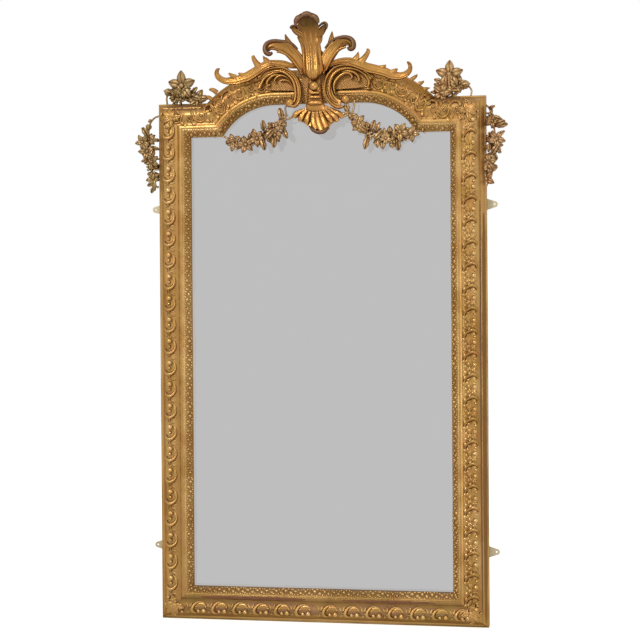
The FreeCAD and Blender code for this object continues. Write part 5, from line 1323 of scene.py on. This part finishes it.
print("threaded:", [row[0] for row in strung([(0, 0, 0, 5), (9, 0, 0, 5), (20, 0, 0, 5)], 4, 1)])

# %% Swags
garland("left_flower_swag",
        [[(-76, 98, 1484), (-88, 92, 1474), (-88, 86, 1452), (-97, 82, 1434), (-129, 78, 1403),
          (-171, 74, 1383), (-217, 68, 1377), (-256, 60, 1391), (-277, 56, 1400)],
         [(-92, 82, 1440), (-76, 84, 1444), (-58, 86, 1458)]],
        strung([(-90, 84, 1444, 12), (-100, 82, 1430, 26), (-122, 80, 1410, 34), (-145, 78, 1394, 36),
                (-172, 76, 1386, 26), (-200, 72, 1380, 24), (-225, 68, 1378, 18), (-250, 62, 1388, 10)],
               count=34, seed=2)
        + [("Leaf", -95, 84, 1411, 1.0, 150), ("Leaf", -138, 84, 1409, 0.85, -2),
           ("Leaf", -154, 84, 1413, 0.95, 0), ("Leaf", -176, 82, 1402, 0.7, -42),
           ("Leaf", -159, 86, 1386, 1.1, 166), ("Leaf", -123, 86, 1391, 1.05, 180),
           ("Leaf", -214, 78, 1382, 0.8, 222), ("Flower", -104, 86, 1424, 0.7, 10),
           ("Leaf", -180, 80, 1378, 0.8, 245), ("Leaf", -240, 70, 1386, 0.7, -70),
           ("Leaf", -254, 66, 1390, 0.6, 240)], warm_cast, "left_swag")
garland("right_flower_swag",
        [[(85, 98, 1484), (84, 94, 1468), (89, 88, 1452), (101, 84, 1438), (136, 80, 1400), (177, 76, 1381),
          (225, 70, 1386), (267, 62, 1391), (287, 56, 1404)],
         [(108, 82, 1490), (106, 84, 1466), (98, 84, 1446)]],
        strung([(88, 90, 1462, 6), (98, 86, 1442, 8)], count=7, seed=9, size=0.75, kinds=("Leaf", "Bud"))
        + strung([(108, 84, 1426, 14), (124, 82, 1412, 30), (148, 80, 1394, 34), (178, 78, 1384, 36),
                  (201, 74, 1384, 34), (225, 70, 1387, 28), (248, 66, 1389, 22), (268, 62, 1392, 8)],
                 count=40, seed=4)
        + [("Leaf", 157, 84, 1406, 0.95, 18), ("Leaf", 171, 84, 1404, 0.8, 25),
           ("Leaf", 144, 88, 1382, 1.1, 194), ("Leaf", 171, 86, 1378, 0.9, 168),
           ("Leaf", 177, 84, 1394, 0.6, 15), ("Leaf", 190, 82, 1392, 0.6, 10),
           ("Flower", 120, 88, 1414, 0.75, 20), ("Flower", 196, 82, 1380, 0.7, 40)], pale_cast, "right_swag")

# %% Drops
garland("left_flower_drop",
        [[(-474, 30, 1468), (-490, 29, 1462), (-500, 28, 1452), (-507, 28, 1430), (-508, 28, 1390),
          (-508, 28, 1345), (-500, 28, 1310), (-493, 28, 1280), (-490, 28, 1255)],
         [(-504, 28, 1342), (-486, 28, 1342), (-472, 28, 1342)],
         [(-498, 28, 1312), (-484, 28, 1311), (-472, 28, 1311)]],
        strung([(-504, 30, 1412, 14), (-508, 31, 1390, 26), (-510, 32, 1365, 28), (-506, 31, 1342, 20),
                (-500, 30, 1312, 12), (-492, 30, 1282, 12), (-490, 30, 1260, 16)], count=22, seed=6)
        + [("Bud", -500, 29, 1456, 0.55, 235), ("Bud", -508, 30, 1442, 0.85, 180),
           ("Flower", -508, 32, 1400, 0.85, 275), ("Flower", -512, 34, 1364, 0.95, 268),
           ("Leaf", -508, 32, 1342, 0.8, 250), ("Leaf", -494, 32, 1376, 0.7, 110),
           ("Leaf", -494, 32, 1398, 0.7, 95), ("Bud", -497, 31, 1324, 0.8, 185),
           ("Bud", -493, 31, 1298, 0.8, 180), ("Leaf", -490, 32, 1276, 0.9, 185),
           ("Leaf", -490, 31, 1262, 0.8, 215), ("Leaf", -500, 30, 1290, 0.6, 220)], cast_gilding, "left_drop")
garland("right_flower_drop",
        [[(472, 30, 1476), (484, 29, 1464), (490, 28, 1445), (496, 28, 1415), (500, 28, 1375), (490, 28, 1335),
          (480, 28, 1300), (477, 28, 1265)]],
        strung([(488, 30, 1448, 10), (494, 31, 1425, 22), (500, 32, 1395, 30), (500, 32, 1365, 32),
                (488, 31, 1332, 20), (482, 31, 1300, 22), (478, 30, 1268, 10)], count=26, seed=8)
        + [("Leaf", 484, 30, 1464, 0.65, 75), ("Leaf", 486, 31, 1446, 0.6, 20),
           ("Leaf", 504, 33, 1414, 1.1, 85), ("Flower", 492, 34, 1426, 0.75, 30),
           ("Flower", 504, 35, 1376, 0.95, 105), ("Leaf", 510, 32, 1388, 0.7, 60),
           ("Leaf", 502, 33, 1354, 0.75, 140), ("Leaf", 496, 32, 1336, 0.7, 150),
           ("Flower", 482, 34, 1298, 0.75, 100), ("Leaf", 480, 31, 1276, 0.65, 150),
           ("Bud", 478, 31, 1330, 0.7, 200)], warm_cast, "right_drop")

# %% Sprays
garland("left_flower_spray",
        [[(-452, 24, 1499), (-453, 24, 1524), (-446, 24, 1535), (-428, 24, 1534), (-410, 24, 1524)],
         [(-410, 24, 1499), (-410, 24, 1535)],
         [(-378, 24, 1499), (-374, 24, 1530)], [(-350, 24, 1499), (-354, 24, 1520)]],
        strung([(-424, 28, 1512, 12), (-412, 33, 1528, 30), (-400, 36, 1536, 34), (-390, 32, 1520, 30),
                (-372, 28, 1510, 20), (-350, 27, 1508, 14)], count=24, seed=12, size=1.0)
        + [("Flower", -403, 33, 1553, 1.6, 0), ("Flower", -402, 38, 1536, 0.9, 30),
           ("Leaf", -376, 30, 1530, 0.9, 50), ("Bud", -440, 29, 1534, 1.1, -75),
           ("Leaf", -352, 28, 1516, 0.7, 70), ("Leaf", -418, 31, 1534, 0.8, -60),
           ("Leaf", -418, 29, 1522, 0.7, 200)], cast_gilding, "left_spray")
garland("right_flower_spray",
        [[(432, 24, 1499), (434, 24, 1518), (424, 24, 1530), (400, 24, 1528)],
         [(380, 24, 1499), (378, 24, 1540)],
         [(348, 24, 1499), (352, 24, 1525)]],
        strung([(340, 27, 1512, 14), (356, 31, 1526, 30), (372, 36, 1536, 36), (388, 32, 1528, 30),
                (400, 28, 1512, 16)], count=24, seed=15, size=1.0)
        + [("Flower", 374, 33, 1560, 1.5, 2), ("Flower", 371, 38, 1540, 0.9, 35),
           ("Bud", 408, 29, 1532, 1.2, 85), ("Leaf", 354, 31, 1540, 0.9, -70),
           ("Leaf", 346, 28, 1526, 0.8, -55), ("Leaf", 338, 27, 1512, 0.7, -85),
           ("Leaf", 398, 29, 1524, 0.8, 75)], pale_cast, "right_spray")
for cast in casts.values():
    bpy.data.objects.remove(cast)

# %% [markdown]
# ## The finished part
# The dressed mirror has to fit where the CAD model fits, on the same wall. Its size could be taken on trust,
# but ornament adds up.

# %% Finish
print("the mirror is dressed")
